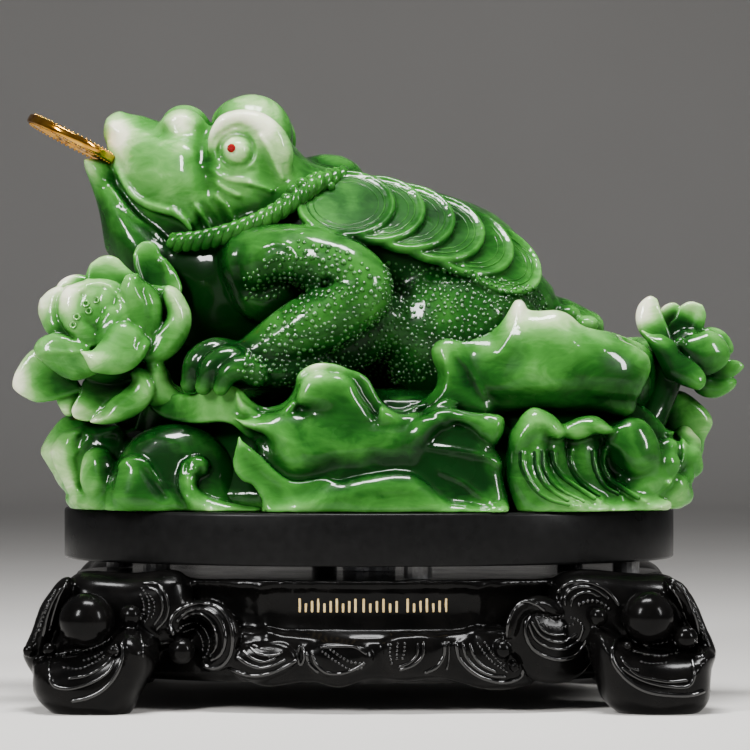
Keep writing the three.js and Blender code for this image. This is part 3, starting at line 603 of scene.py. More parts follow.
HEAD_LINES = (
    # a row of pixels, its height and its width in millimetres
    ([[207, 124], [205, 140], [203, 158], [205, 176], [208, 190]], -2.4, 4),
    ([[106, 180], [114, 192], [122, 203], [137, 218], [153, 229], [164, 240], [177, 252]], 1.6, 1.5),
    ([[113, 160], [121, 178], [132, 194], [146, 203], [162, 208], [176, 212], [186, 220]], 1.0, 1.3),
    ([[262, 139], [270, 152], [276, 166], [283, 180]], 1.2, 1.3),
    ([[197, 208], [205, 218], [212, 230]], 1.5, 1.3),
    ([[192, 206], [200, 216], [207, 229]], -0.8, 1.3),
    ([[204, 204], [212, 214], [220, 226]], -0.7, 1.5),
    ([[219, 198], [229, 209], [236, 222]], 1.4, 1.3),
    ([[214, 202], [223, 213], [230, 225]], -1.1, 1.3),
    ([[219, 185], [228, 191], [240, 197]], 1.2, 1.4),
    ([[214, 188], [226, 197], [240, 203]], -0.6, 1.6),
    ([[205, 167], [216, 176], [232, 182], [250, 183]], 1.1, 2.0),
    ([[210, 174], [222, 182], [238, 188], [252, 189]], -0.9, 1.6),
    ([[252, 186], [262, 188], [272, 192]], 1.5, 1.4),
    ([[226, 172], [240, 174], [254, 171]], -0.8, 1.5),
    ([[163, 120], [175, 116], [187, 118], [196, 124]], 0.8, 2),
    ([[150, 122], [156, 128], [164, 131]], -0.9, 2.4),
)


def shape_head(clay):
    clay.add(limb(CROWN, sides=48), 5)
    clay.add(limb(SNOUT), 5)
    clay.add(limb(JAW, sides=48), 1.2)
    eye_x, _, eye_z = seen(*EYE_CENTRE, EYE_DEPTH)
    for side in SIDES:
        lift = HEAD_TILT if side > 0 else 0
        clay.add(ball([-58, 17 * side, 265 + lift], EYE_SOCKET), 5)
        clay.add(ball([-90.5, 10 * side, 276.5 + 0.3 * lift], NOSTRIL, (0, 10, 0)), 4)
        clay.add(limb(on_side(stations(BROW), side, lift), sides=36), 3)
        clay.add(ball([eye_x, 30.5 * side, eye_z + lift], EYE_BALL), 0.8)
    clay.pillows(HEAD_FORMS, both=True)
    for side in SIDES:
        clay.add(limb(on_side(stations(UPPER_LIP), side)), 2)
    clay.emboss_all(HEAD_LINES, depth=-20, both=True)
    for radius, height in EYE_RINGS:
        rows = [
            [EYE_CENTRE[0] + radius * math.cos(a), EYE_CENTRE[1] + radius * math.sin(a)]
            for a in np.linspace(0, 2 * math.pi, 13)
        ]
        clay.emboss(rows, height, 1.1, -22)


TRUNK = (
    [-51, 0, 236, 27, 33], [-19, 0, 226, 33, 42], [15, 0, 211, 40, 47], [42, 0, 197, 43, 47],
    [58, 0, 184, 36, 38],
)
TAIL = ([70, 8, 182, 14], [92, 10, 184, 12, 15], [108, 12, 181, 8, 11])
TAIL_KNOBS = 5
TAIL_KNOB = [6, 6, 4.5]
BELLY = (([-68, 0, 205], [38, 36, 44], 6), ([5, 0, 180], [72, 42, 36], 6))
FAR_SHOULDER = (([-21, 16, 253], [19, 18, 13.5], 3),)
BREAST = dict(depth=-8, seam=5, both=True, front=9, back=20, edge=14, lean=(-0.2, 0), outline=[
    [140, 262], [165, 252], [200, 246], [240, 262], [250, 300], [240, 352], [215, 386], [180, 398],
    [160, 392], [154, 360], [156, 320], [150, 285]])


def shape_torso(clay):
    clay.add(limb(TRUNK, sides=64), 6)
    clay.add_balls(BELLY)
    clay.pillow(**BREAST)
    clay.add_balls(FAR_SHOULDER)
    clay.add(limb(TAIL), 3)
    for k in range(TAIL_KNOBS):
        clay.add(ball([70 + 9 * k, -4 - 2 * k, 196 - 1.5 * k - 0.5 * k * k], TAIL_KNOB), 2)


ARM = (
    [256, 262, -40, 17], [290, 256, -47, 15.5], [325, 262, -54, 15], [352, 275, -58, 15],
    [362, 290, -60, 15], [342, 307, -60, 16], [306, 328, -60, 15.5], [268, 349, -60, 12],
    [240, 364, -61, 8.5],
)
TOES = (
    [[236, 358, -62, 8], [214, 353, -64, 7.4], [198, 362, -66, 6.6], [190, 384, -66, 4.6]],
    [[246, 366, -68, 7.4], [227, 360, -71, 7], [212, 368, -73, 6.2], [204, 386, -73, 4.4]],
    [[256, 374, -72, 6.4], [242, 368, -76, 6.2], [228, 374, -77, 5.4], [221, 388, -77, 3.8]],
)
THIGH = [44, 33, 37]
THIGH_TURN = (0, 15, 0)
SHOULDERS = (([-47, 36, 203], [20, 15, 22], 5), ([-53, 34, 214], [19, 17, 20], 4))
HAUNCH = ([378, 322, -44, 16], [352, 345, -46, 12], [330, 360, -48, 9])
HIND_FOOT = ([-24, 60, 158, 8], [-52, 61, 159, 8, 12], [-66, 62, 160, 7, 11])
LEG_FOLDS = (
    ([[244, 246], [240, 262], [243, 280], [252, 292]], -1.6, 3),
    ([[300, 292], [290, 284], [276, 286], [262, 296]], -1.6, 3),
    ([[262, 250], [276, 244], [292, 250], [300, 262]], 1.0, 2.4),
    ([[266, 262], [278, 256], [290, 262], [294, 272]], 0.9, 2),
    ([[330, 283], [322, 292], [306, 300], [288, 312]], -1.4, 2.6),
)


def shape_legs(clay):
    for side in SIDES:
        clay.add(ball([42, 28 * side, 177], THIGH, THIGH_TURN), 3)
        clay.add(limb(on_side(stations(HAUNCH), side)), 5)
        clay.add_balls([[x, side * y, z], radii, seam] for (x, y, z), radii, seam in SHOULDERS)
        clay.add(limb(on_side(stations(ARM), side)), 2.5)
        clay.add(limb(on_side(HIND_FOOT, side)), 3)
        for toe in TOES:
            clay.add(limb(on_side(stations(toe), side)), 1.6)
    clay.emboss_all(LEG_FOLDS, depth=-38, both=True)


BACK_COIN_COUNT = 6
BACK_COIN_RADIUS = 24
BACK_COIN_THICKNESS = 5
BACK_COIN_SINK = 0.9
ROPE_RADIUS = 4.6
ROPE_PITCH = 15
ROPE_STRANDS = 3
# A strand's distance from the rope's middle and its radius, as shares of the rope's radius
STRAND_OUT = 0.52
STRAND_RADIUS = 0.6
STEPS_PER_TURN = 14
ROPE_PATH = (
    # x, y, z and the radius of the core, in millimetres
    [-94, 32, 221, 3.6], [-80, 38, 222, 3.8], [-66, 42, 225.5, 3.8], [-52, 43, 231, 3.8],
    [-38, 41, 239.5, 3.8], [-26, 34, 249, 3.4], [-12, 20, 254, 3],
)


def back_coin_places():
    """The centre and facing of each coin on the toad's back."""
    for side in SIDES:
        for k in range(BACK_COIN_COUNT):
            t = k / (BACK_COIN_COUNT - 1)
            centre = np.array([-11 + 72 * t, side * (39 - 4 * t * t), 238.5 - 8.5 * t - 17 * t * t])
            yield centre, unit([0.02 + 0.42 * t * t, side * 0.72, 0.75])


def plane_axes(facing):
    facing = unit(facing)
    first = unit(np.cross([0, 1, 0], facing))
    return first, np.cross(facing, first), facing


def spokes(facing, count):
    """Unit spokes round an axis, and the axis."""
    first, second, facing = plane_axes(facing)
    around = angles(count)[:, None]
    return np.cos(around) * first + np.sin(around) * second, facing


def back_coin(centre, facing):
    """A round blank whose rim stands round a sunk field."""
    half = BACK_COIN_THICKNESS / 2
    radius = BACK_COIN_RADIUS
    field = half - BACK_COIN_SINK
    profile = [
        [0.5, field], [radius - 2.8, field], [radius - 2.1, half], [radius - 1, half],
        [radius, half - 1.2], [radius, 1.2 - half], [radius - 1, -half], [0.5, -half],
    ]
    spoke, facing = spokes(facing, 72)
    rings = [centre + spoke * reach + facing * height for reach, height in profile]
    return closed_loft(rings, [centre + facing * profile[0][1], centre + facing * profile[-1][1]])


def circle(centre, facing, radius, thickness, sides=72):
    """A thin closed ring round an axis."""
    spoke, facing = spokes(facing, sides)
    return closed_tube([
        centre + spoke * (radius + thickness * math.cos(bend)) + facing * thickness * math.sin(bend)
        for bend in angles(6)
    ])


def back_coin_rings():
    for centre, facing in back_coin_places():
        top = centre + facing * (BACK_COIN_THICKNESS / 2 - BACK_COIN_SINK)
        yield circle(top, facing, BACK_COIN_RADIUS - 5.4, 0.5)
        yield circle(top, facing, BACK_COIN_RADIUS - 8.4, 0.35)


TOAD_BLOCK = ([-152, -90, 138], [126, 90, 304], 0.9)


def toad_skin():
    clay = Clay(*TOAD_BLOCK)
    shape_torso(clay)
    shape_head(clay)
    shape_legs(clay)
    for centre, facing in back_coin_places():
        clay.add(back_coin(centre, facing), 0.6)
    for side in SIDES:
        clay.add(limb([[*row[:3], row[3] * 0.7] for row in on_side(ROPE_PATH, side)]), 1)
    return clay.skin(adaptivity=0.018)


WART_DARTS = 70000
WART_SPREAD = (0.55, 1.2)
WART_RISE = 0.62
# How far from its neighbours a wart stands, as a share of both sizes, and the cells used to find them
WART_GAP = 0.98
WART_CELL = 3.7
# Warts grow this far from the toad's middle plane, where the skin faces outwards
WART_OUT = 22
WART_FACING = -0.1
WART_AREAS = (
    # the pixel outline of an area, and how wide its warts are in millimetres
    ([[262, 262], [300, 240], [345, 250], [382, 278], [384, 300], [350, 330], [300, 365], [255, 384],
      [236, 372], [262, 330], [300, 300], [300, 285], [268, 300], [246, 300], [244, 276]], 1.5),
    ([[384, 262], [470, 270], [545, 290], [560, 330], [500, 330], [430, 380], [330, 392], [270, 384],
      [330, 350], [384, 305]], 1.25),
    ([[545, 290], [606, 306], [612, 340], [560, 336]], 1.35),
)


def warts_skin(toad):
    """Low domes over the legs, thighs and belly, each on the toad's own surface."""
    points, quads, triangles = toad
    normals = normals_of(toad)
    faces = split(quads, triangles)
    corners = points[faces]
    areas = np.linalg.norm(crossed(corners), axis=1)
    picks = RNG.choice(len(faces), WART_DARTS, p=areas / areas.sum())
    weights = RNG.dirichlet([1, 1, 1], WART_DARTS)
    places = (corners[picks] * weights[..., None]).sum(1)
    out = unit((normals[faces[picks]] * weights[..., None]).sum(1))
    scale = PIXEL_MM * (1 - np.abs(places[:, 1]) * MM / CAMERA_DISTANCE)
    columns = AXIS_COLUMN + places[:, 0] / scale
    rows = EYE_ROW - (places[:, 2] - CAMERA_HEIGHT / MM) / scale
    sizes = np.zeros(WART_DARTS)
    for outline, size in WART_AREAS:
        sizes[inside_distance(columns, rows, np.array(outline, float)) > 0] = size
    sizes *= RNG.uniform(*WART_SPREAD, WART_DARTS)
    outward = out[:, 1] * np.sign(places[:, 1]) > WART_FACING
    open_side = (np.abs(places[:, 1]) > WART_OUT) & outward
    kept = []
    cells = {}
    for k in np.flatnonzero((sizes > 0) & open_side):
        cell = tuple((places[k] // WART_CELL).astype(int))
        nearby = []
        for shift in np.ndindex(3, 3, 3):
            nearby += cells.get(tuple(np.add(cell, shift) - 1), ())
        gaps = [np.linalg.norm(places[k] - places[m]) - (sizes[k] + sizes[m]) * WART_GAP for m in nearby]
        if all(gap > 0 for gap in gaps):
            cells.setdefault(cell, []).append(k)
            kept.append(k)
    around = angles(6)
    rings = [
        np.column_stack([reach * np.cos(around), reach * np.sin(around), np.full(6, height)])
        for reach, height in ((1, -0.3), (0.84, 0.5), (0.42, 0.9))
    ]
    dome = closed_loft(rings, [[0, 0, -0.3], [0, 0, 1]])
    domes = []
    for k in kept:
        first, second, up = plane_axes(out[k])
        shape = sizes[k] * np.stack([first, second, up * WART_RISE])
        domes.append((dome[0] @ shape + places[k], dome[1], dome[2]))
    return merged(domes)


# The rope round the neck, and the beads at its knot


def strands(rows):
    """The strands of the rope along a path, each turning once in a pitch."""
    length = np.linalg.norm(np.diff(spline(rows, 200)[:, :3], axis=0), axis=1).sum()
    turns = length / ROPE_PITCH
    steps = int(turns * STEPS_PER_TURN)
    path = spline([row[:3] for row in rows], steps)
    tangent = unit(np.gradient(path, axis=0))
    side = unit(np.cross(tangent, [0.1, -0.3, 1]))
    up = np.cross(side, tangent)
    for k in range(ROPE_STRANDS):
        angle = 2 * math.pi * (np.linspace(0, turns, steps) + k / ROPE_STRANDS)
        offset = ROPE_RADIUS * STRAND_OUT * (np.cos(angle)[:, None] * side + np.sin(angle)[:, None] * up)
        strand = np.column_stack([path + offset, np.full(steps, ROPE_RADIUS * STRAND_RADIUS)])
        yield limb(strand, sides=8, steps=steps)


ROPE_BEADS = (
    [293, 190, -40, 3.2], [302, 184, -38, 3.4], [311, 180, -35, 3.0], [300, 194, -40, 2.8],
    [310, 190, -38, 3.2], [319, 186, -35, 2.8], [286, 198, -42, 2.6], [316, 176, -31, 2.4],
    [325, 180, -31, 2.6], [331, 186, -33, 2.2],
)


def rope_skins():
    for side in SIDES:
        yield from strands(on_side(ROPE_PATH, side))
        for column, row, depth, radius in ROPE_BEADS:
            x, y, z = seen(column, row, depth)
            yield ball([x, side * abs(y), z], [radius] * 3, sides=14)


# The lotus leaves and the mass under them


def oval_rings(levels, ratio, sides=128):
    """An oval turned form from [radius, height] pairs, narrower front to back by a ratio."""
    around = angles(sides)
    plan = np.stack([np.cos(around), ratio * np.sin(around)], -1)
    rings = [np.column_stack([plan * radius, np.full(sides, height)]) for radius, height in levels]
    return closed_loft(rings, [[0, 0, levels[0][1]], [0, 0, levels[-1][1]]])


# Radii of the mound under the leaves and heights above its foot, in millimetres
MOUND_LEVELS = ([130, 0], [134, 3], [135, 8], [125, 20], [110, 38], [98, 52], [84, 57], [60, 58])
MOUND_RATIO = 0.62


def mound():
    return oval_rings([[radius, CASTING_BOTTOM + height] for radius, height in MOUND_LEVELS], MOUND_RATIO)


def rim_roll(row, radius):
    """A thin roll along a leaf's rim."""
    return limb([[*point, radius] for point in row], sides=12, steps=140)


FRONT_LEAVES = (
    # from the back to the front
    dict(depth=-76, front=7, back=22, edge=4, cup=4, sag=0.0042, outline=[
        [140, 380], [150, 396], [173, 394], [193, 394], [208, 388], [222, 384], [236, 386], [243, 391],
        [250, 399], [260, 405], [270, 405], [280, 401], [288, 393], [294, 381], [301, 371], [311, 365],
        [324, 362.5], [337, 364], [348, 368.5], [361, 373], [369, 379], [374, 388], [381, 400],
        [390, 408], [401, 410], [414, 406], [425, 403], [436, 400], [446, 392], [449, 380], [443, 364],
        [470, 368], [476, 420], [430, 452], [330, 452], [250, 440], [230, 424], [190, 424], [160, 418],
        [144, 404]]),
    dict(depth=-40, front=6, back=10, edge=4, outline=[
        [150, 398], [173, 394], [190, 396], [198, 404], [196, 416], [182, 424], [160, 426], [150, 412]]),
    dict(depth=-78, front=7, back=10, edge=7, lean=(0.1, 0), outline=[
        [300, 384], [310, 374], [325, 370], [342, 374], [355, 382], [362, 394], [372, 408], [380, 422],
        [360, 428], [335, 418], [312, 410], [296, 402]]),
    dict(depth=-76, front=5, back=10, edge=4, lean=(-0.2, 0), outline=[
        [236, 390], [246, 402], [262, 410], [282, 406], [292, 398], [298, 404], [288, 416], [262, 420],
        [240, 412]]),
    dict(depth=-76, front=5, back=10, edge=4, lean=(0.3, 0), outline=[
        [380, 406], [402, 414], [428, 407], [446, 398], [460, 402], [452, 416], [425, 424], [398, 428],
        [378, 422]]),
    dict(depth=-81, front=5, back=24, edge=7, lean=(0, 0.1), sag=0.0008, seam=3, outline=[
        [258, 440], [300, 455], [360, 450], [420, 440], [450, 436], [480, 440], [498, 452], [503, 476],
        [503, 506], [470, 506], [430, 496], [400, 478], [340, 488], [300, 500], [270, 504], [258, 470]]),
    dict(depth=-79, front=4, back=14, edge=5, lean=(0, 0.2), seam=2, outline=[
        [428, 452], [438, 432], [454, 424], [470, 427], [482, 438], [490, 448], [482, 458], [450, 460]]),
    dict(depth=-79, front=6, back=14, edge=5, lean=(0.1, 0.1), seam=2, outline=[
        [424, 446], [432, 434], [442, 425], [455, 421], [468, 424], [478, 432], [486, 443], [494, 446],
        [501, 439], [505, 428], [504, 418], [480, 412], [450, 408], [425, 414], [412, 428]]),
    dict(depth=-78, front=6, back=14, edge=7, lean=(0.1, 0.3), seam=2, outline=[
        [422, 478], [438, 464], [462, 455], [484, 457], [494, 466], [501, 480], [508, 496], [508, 510],
        [440, 512], [424, 494]]),
    dict(depth=-82, front=6, back=12, edge=8, lean=(0, 0.22), sag=0.0006, seam=5, outline=[
        [234, 418], [245, 421], [262, 416], [300, 414], [322, 410], [343, 411], [363, 420], [383, 426],
        [405, 424], [420, 420], [434, 418], [444, 420], [440, 428], [434, 434], [427, 442], [419, 452],
        [411, 460], [400, 458.5], [385, 457], [374, 454.5], [363, 458], [350, 460], [335, 461],
        [320, 466], [305, 470], [292, 469], [283, 463], [276, 452], [271, 441], [264, 434], [255, 430],
        [245, 425]]),
    dict(depth=-86, front=6, back=12, edge=4, cup=2.5, lean=(0.05, 0.05), outline=[
        [238, 432], [242, 440], [250, 446], [262, 456], [276, 470], [292, 480], [330, 478], [340, 486],
        [300, 498], [276, 502], [266, 504], [259, 494], [252, 485], [243, 481], [236, 473], [233, 462],
        [235, 451], [238, 440]]),
    dict(depth=-87, front=6.5, back=12, edge=7, lean=(0, 0.1), sag=0.0006, seam=3, outline=[
        [262, 514], [264, 503], [275, 500.5], [288, 498], [303, 494], [322, 486], [342, 480.5],
        [373, 474], [400, 471], [414, 473], [426, 481], [436, 491], [446, 500], [465, 503], [483, 506],
        [508, 506], [509, 516], [420, 520], [330, 520]]),
)
LEAF_LINES = (
    ([[293, 385], [290, 396], [280, 408], [262, 414]], -1.6, 3),
    ([[430, 446], [460, 450], [486, 456], [500, 464]], 1.2, 1.4),
    ([[440, 470], [462, 480], [480, 494], [492, 504]], 0.9, 1.6),
    ([[446, 426], [456, 420], [468, 424], [480, 434]], 1.2, 1.6),
    ([[420, 412], [440, 416], [462, 412], [490, 420]], -0.9, 1.8),
    ([[362, 384], [366, 396], [376, 410], [392, 420]], -0.5, 3),
    ([[330, 374], [338, 386], [342, 402]], -1.0, 3.4),
    ([[246, 424], [266, 428], [290, 440], [310, 452]], 0.9, 2),
    ([[300, 424], [340, 428], [380, 440], [404, 450]], -0.9, 4),
    ([[250, 458], [262, 474], [280, 488]], -1.2, 4),
    ([[300, 504], [340, 494], [380, 486], [412, 486]], 0.7, 3),
)


FRONT_BLOCK = ([-124, -101, 92], [74, 34, 178], 0.95)


def front_leaves_skin():
    clay = Clay(*FRONT_BLOCK)
    clay.add(mound())
    clay.pillows(FRONT_LEAVES)
    clay.emboss_all(LEAF_LINES, depth=-60)
    clay.cut_below(CASTING_BOTTOM)
    return clay.skin()


# The leaf curled into a bowl, on the right

BOWL_BLOCK = ([22, -84, 104], [146, 58, 200], 0.95)
BOWL_MIDDLE = 83
BOWL_THICKNESS = 5
BOWL_FLOOR = (([84, -10, 134], [56, 46, 17], 4),)
# The bowl's lines as its rim drawn in: share of the width, middle of the depth and its share, height
BOWL_INSIDE = ((0.3, -12, 0.3, 146), (0.86, -12, 0.84, 150))
BOWL_OUTSIDE = ((1.02, 0, 1.08, 154), (0.96, 0, 0.95, 142), (0.6, -12.5, 0.6, 138))
BOWL_RIM = [
    [444, 352, -36], [450, 342, -46], [473, 338, -54], [500, 329, -57], [518, 316, -58], [537, 316, -59],
    [562, 316, -60], [586, 331, -57], [611, 336, -50], [636, 346, -38], [652, 356, -22],
]
BOWL_BACK_RIM = [
    [136, 0, 172], [133, 18, 174], [120, 33, 173], [98, 40, 172], [72, 39, 172], [48, 30, 170],
    [34, 12, 168], [30, -12, 166], [32, -32, 163],
]
BOWL_FORMS = (
    dict(depth=-63, front=8, back=7, edge=11, lean=(-0.02, 0.12), sag=0.0052, cup=0, outline=[
        [433, 358], [432.5, 348], [437, 342], [444, 339], [459, 336], [473, 336.5], [488, 335.5],
        [500, 328], [507, 319], [512, 307], [517, 300.5], [523, 302.5], [527, 310], [536, 312.5],
        [558, 312], [571, 318], [585, 328], [600, 333], [612, 334.5], [628, 342], [641, 348], [651, 356],
        [653, 368], [647, 384], [638, 398], [615, 397], [590, 396], [560, 394], [520, 396], [490, 399],
        [468, 402], [455, 396], [450, 384], [441, 372]]),
    dict(depth=-62, front=7, back=8, edge=16, lean=(0.36, 0.1), outline=[
        [566, 332], [590, 338], [618, 344], [640, 356], [642, 374], [630, 390], [600, 392], [578, 380],
        [566, 356]]),
    dict(depth=-59, front=7, back=20, edge=7, sag=0.0048, outline=[
        [440, 386], [470, 384], [520, 380], [560, 378], [600, 382], [636, 388], [636, 412], [626, 418],
        [600, 412], [560, 410], [520, 412], [480, 416], [450, 414]]),
    dict(depth=-61, front=6.5, back=16, edge=10, lean=(-0.05, 0.12), outline=[
        [432, 358], [432, 347], [438, 340], [450, 337], [462, 343], [467, 358], [475, 376], [487, 394],
        [494, 408], [486, 420], [456, 420], [424, 416], [414, 408], [428, 396], [436, 386], [437, 372]]),
)


BOWL_LINES = (
    ([[520, 305], [512, 318], [505, 336], [500, 352]], 1.2, 3, -50),
    ([[497, 340], [502, 356], [500, 376]], -1.6, 6, -50),
    ([[524, 334], [528, 350], [530, 368]], 1.0, 5, -50),
    ([[574, 330], [578, 350], [574, 374]], -1.4, 6, -50),
    ([[450, 352], [458, 364], [466, 378], [474, 394]], -0.7, 2.4, -40),
    ([[458, 356], [466, 366], [474, 380], [482, 396]], 1.0, 1.4, -40),
    ([[444, 360], [447, 376], [443, 392], [434, 402]], 1.0, 1.4, -40),
)


def drawn_in(rim, wide, middle, deep, height):
    """The bowl's rim drawn towards its middle, at another height."""
    return [
        [BOWL_MIDDLE + (x - BOWL_MIDDLE) * wide, middle + (y - middle) * deep, height] for x, y, _ in rim
    ]


def bowl_skin():
    clay = Clay(*BOWL_BLOCK)
    rim = stations(BOWL_RIM) + BOWL_BACK_RIM
    inside = [drawn_in(rim, *line) for line in BOWL_INSIDE]
    outside = [drawn_in(rim, *line) for line in BOWL_OUTSIDE]
    clay.add(leaf([*inside, rim, *outside], BOWL_THICKNESS, along=150, across=40), 1)
    clay.add_balls(BOWL_FLOOR)
    clay.add(rim_roll(rim[10:], 1.9), 1.5)
    clay.pillows(BOWL_FORMS, seam=4)
    clay.emboss_all(BOWL_LINES)
    return clay.skin()


# The waves

LEFT_BLOCK = ([-172, -92, 92], [-46, 40, 146], 0.9)
LEFT_CORE = (
    ([-98, -30, 118], [34, 26, 16], 5),
    ([-128, -6, 114], [27, 34, 21], 5),
    ([-100, -36, 98], [46, 32, 14], 5),
)
LEFT_WAVES = (
    dict(depth=-40, front=9, back=24, edge=12, lean=(-0.3, 0.1), outline=[
        [74, 503], [60, 485], [47, 466], [39.5, 452], [44, 440], [52, 428], [60, 419], [68, 415],
        [84, 417], [104, 423], [119, 425], [128, 440], [122, 470], [116, 500], [84, 510]]),
    dict(depth=-46, front=6, back=10, edge=10, lean=(-0.3, 0.1), outline=[
        [74, 503], [66, 488], [56, 470], [50, 452], [56, 438], [68, 430], [84, 428], [80, 440],
        [78, 454], [80, 472], [84, 488], [90, 504]]),
    dict(depth=-55, front=9, back=12, edge=15, lean=(0, 0.1), outline=[
        [81, 466], [85, 453], [94, 447], [106, 449], [115, 458], [119, 472], [119, 488], [112, 497],
        [100, 501], [88, 497], [81, 484]]),
    dict(depth=-62, front=10, back=24, edge=14, lean=(-0.05, 0.18), outline=[
        [108, 480], [116, 462], [125, 447], [138, 434], [158, 426], [182, 424], [204, 430], [218, 440],
        [236, 466], [246, 500], [262, 508], [264, 520], [108, 520]]),
    dict(depth=-68, front=8, back=12, edge=11, lean=(0, 0.1), seam=1.5, outline=[
        [119, 468], [123, 459], [134, 455], [146, 456], [154, 461], [160, 470], [168, 484], [178, 496],
        [190, 506], [180, 513], [124, 513], [113, 500], [115, 482]]),
    dict(depth=-74, front=6, back=14, edge=8, lean=(-0.06, 0.1), outline=[
        [180, 474], [184, 463], [194, 456], [204, 457], [210, 464], [208, 473], [200, 478], [198, 486],
        [208, 495], [226, 501], [246, 505], [262, 508], [264, 520], [200, 520], [187, 506], [180, 490]]),
)
LEFT_WAVE_HOLLOWS = (
    dict(depth=-56, front=14, back=9, edge=7, outline=[
        [84, 440], [96, 434], [112, 430], [121, 434], [119, 446], [108, 446], [96, 443], [86, 447]]),
    dict(depth=-80, front=14, back=8, edge=8, outline=[
        [208, 448], [224, 454], [236, 470], [230, 484], [216, 486], [210, 474], [214, 464], [208, 456]]),
)
LEFT_WAVE_LINES = (
    ([[122, 464], [134, 458], [147, 459], [156, 468], [166, 484], [180, 500]], 0.9, 1.4, -40),
    ([[148, 470], [156, 482], [166, 496]], -1.3, 2.2, -40),
    ([[187, 462], [183, 474], [185, 488], [196, 500], [216, 508]], 0.9, 1.3, -40),
    ([[196, 470], [196, 464], [201, 462], [205, 466], [203, 472], [197, 474], [191, 470], [191, 463]],
      -0.9, 1.0, -40),
    ([[160, 436], [176, 440], [190, 450]], 0.7, 3, -40),
    ([[68, 434], [80, 432], [92, 436], [86, 444], [79, 452]], 0.9, 1.2, -30),
    ([[70, 486], [78, 485], [83, 492], [80, 500]], 1.0, 1.2, -30),
)


def left_waves_skin():
    clay = Clay(*LEFT_BLOCK)
    clay.add_balls(LEFT_CORE)
    clay.pillows(LEFT_WAVES)
    clay.hollows(LEFT_WAVE_HOLLOWS)
    clay.emboss_all(LEFT_WAVE_LINES)
    clay.cut_below(CASTING_BOTTOM)
    return clay.skin()


RIGHT_BLOCK = ([56, -92, 92], [176, 40, 154], 0.8)
RIGHT_CORE = (
    ([92, -30, 116], [46, 34, 24], 4),
    ([100, -28, 100], [50, 40, 16], 4),
    ([132, -18, 112], [24, 28, 20], 4),
)
RIGHT_WAVES = (
    dict(depth=-40, front=8, back=34, edge=14, sag=0.004, outline=[
        [506, 420], [530, 400], [600, 398], [640, 404], [660, 420], [676, 440], [700, 450], [702, 463],
        [697, 476], [691, 487], [690, 499], [684, 507], [660, 516], [520, 518], [508, 500]]),
    dict(depth=-44, front=9, back=20, edge=10, lean=(0.3, 0), outline=[
        [644, 470], [660, 474], [684, 480], [692, 488], [690, 499], [683, 507], [650, 514], [620, 514],
        [632, 490]]),
    dict(depth=-60, front=9, back=22, edge=12, lean=(0.14, 0.1), outline=[
        [600, 428], [602, 446], [605, 462], [612, 478], [626, 488], [650, 496], [672, 503], [660, 516],
        [560, 518], [566, 500], [562, 470], [563, 428]]),
    dict(depth=-68, front=8, back=22, edge=11, lean=(0.1, 0.1), outline=[
        [564, 428], [566, 446], [569, 462], [575, 474], [586, 486], [600, 496], [628, 504], [640, 514],
        [530, 518], [520, 500], [520, 470], [524, 428]]),
    dict(depth=-74, front=8, back=22, edge=10, lean=(0.1, 0.1), outline=[
        [550, 428], [550, 450], [553, 463], [560, 474], [573, 485], [592, 497], [612, 508], [600, 518],
        [524, 518], [511, 496], [506, 474], [507, 450], [513, 430], [530, 424]]),
    dict(depth=-76, front=8, back=16, edge=10, lean=(0.05, 0.1), seam=3, outline=[
        [512, 446], [511, 438], [515, 426], [523, 414], [533, 407.5], [545, 410], [556, 417], [563, 426],
        [565, 433], [559, 439], [550, 437], [544, 434], [536, 438], [526, 446], [518, 452]]),
    dict(depth=-70, front=6, back=16, edge=8, lean=(0.05, 0.1), seam=3, outline=[
        [561, 428], [572, 420], [584, 416], [596, 416], [605, 421], [614, 431], [606, 434.5], [594, 434],
        [586, 438], [574, 440], [564, 436]]),
    dict(depth=-54, front=7, back=18, edge=9, lean=(0.2, 0.2), seam=5, outline=[
        [644, 440], [660, 446], [670, 468], [660, 490], [640, 502], [618, 494], [626, 478], [640, 466]]),
    dict(depth=-60, front=7, back=18, edge=9, lean=(0.2, 0.1), seam=6, outline=[
        [608, 434], [616, 424], [628, 418], [642, 419], [652, 428], [658, 440], [659, 453], [654, 464],
        [645, 471], [634, 474], [622, 468], [612, 456], [606, 444]]),
)
RIGHT_WAVE_HOLLOWS = (
    dict(depth=-70, front=12, back=7, edge=6, outline=[
        [603, 450], [610, 446], [619, 450], [626, 460], [632, 470], [636, 480], [626, 484], [612, 476],
        [605, 464]]),
    dict(depth=-80, front=8, back=2, edge=5, outline=[
        [552, 443], [562, 440], [567, 447], [564, 455], [556, 453]]),
    dict(depth=-78, front=8, back=2, edge=5, outline=[
        [574, 444], [586, 441], [598, 440], [598, 446], [584, 449]]),
)
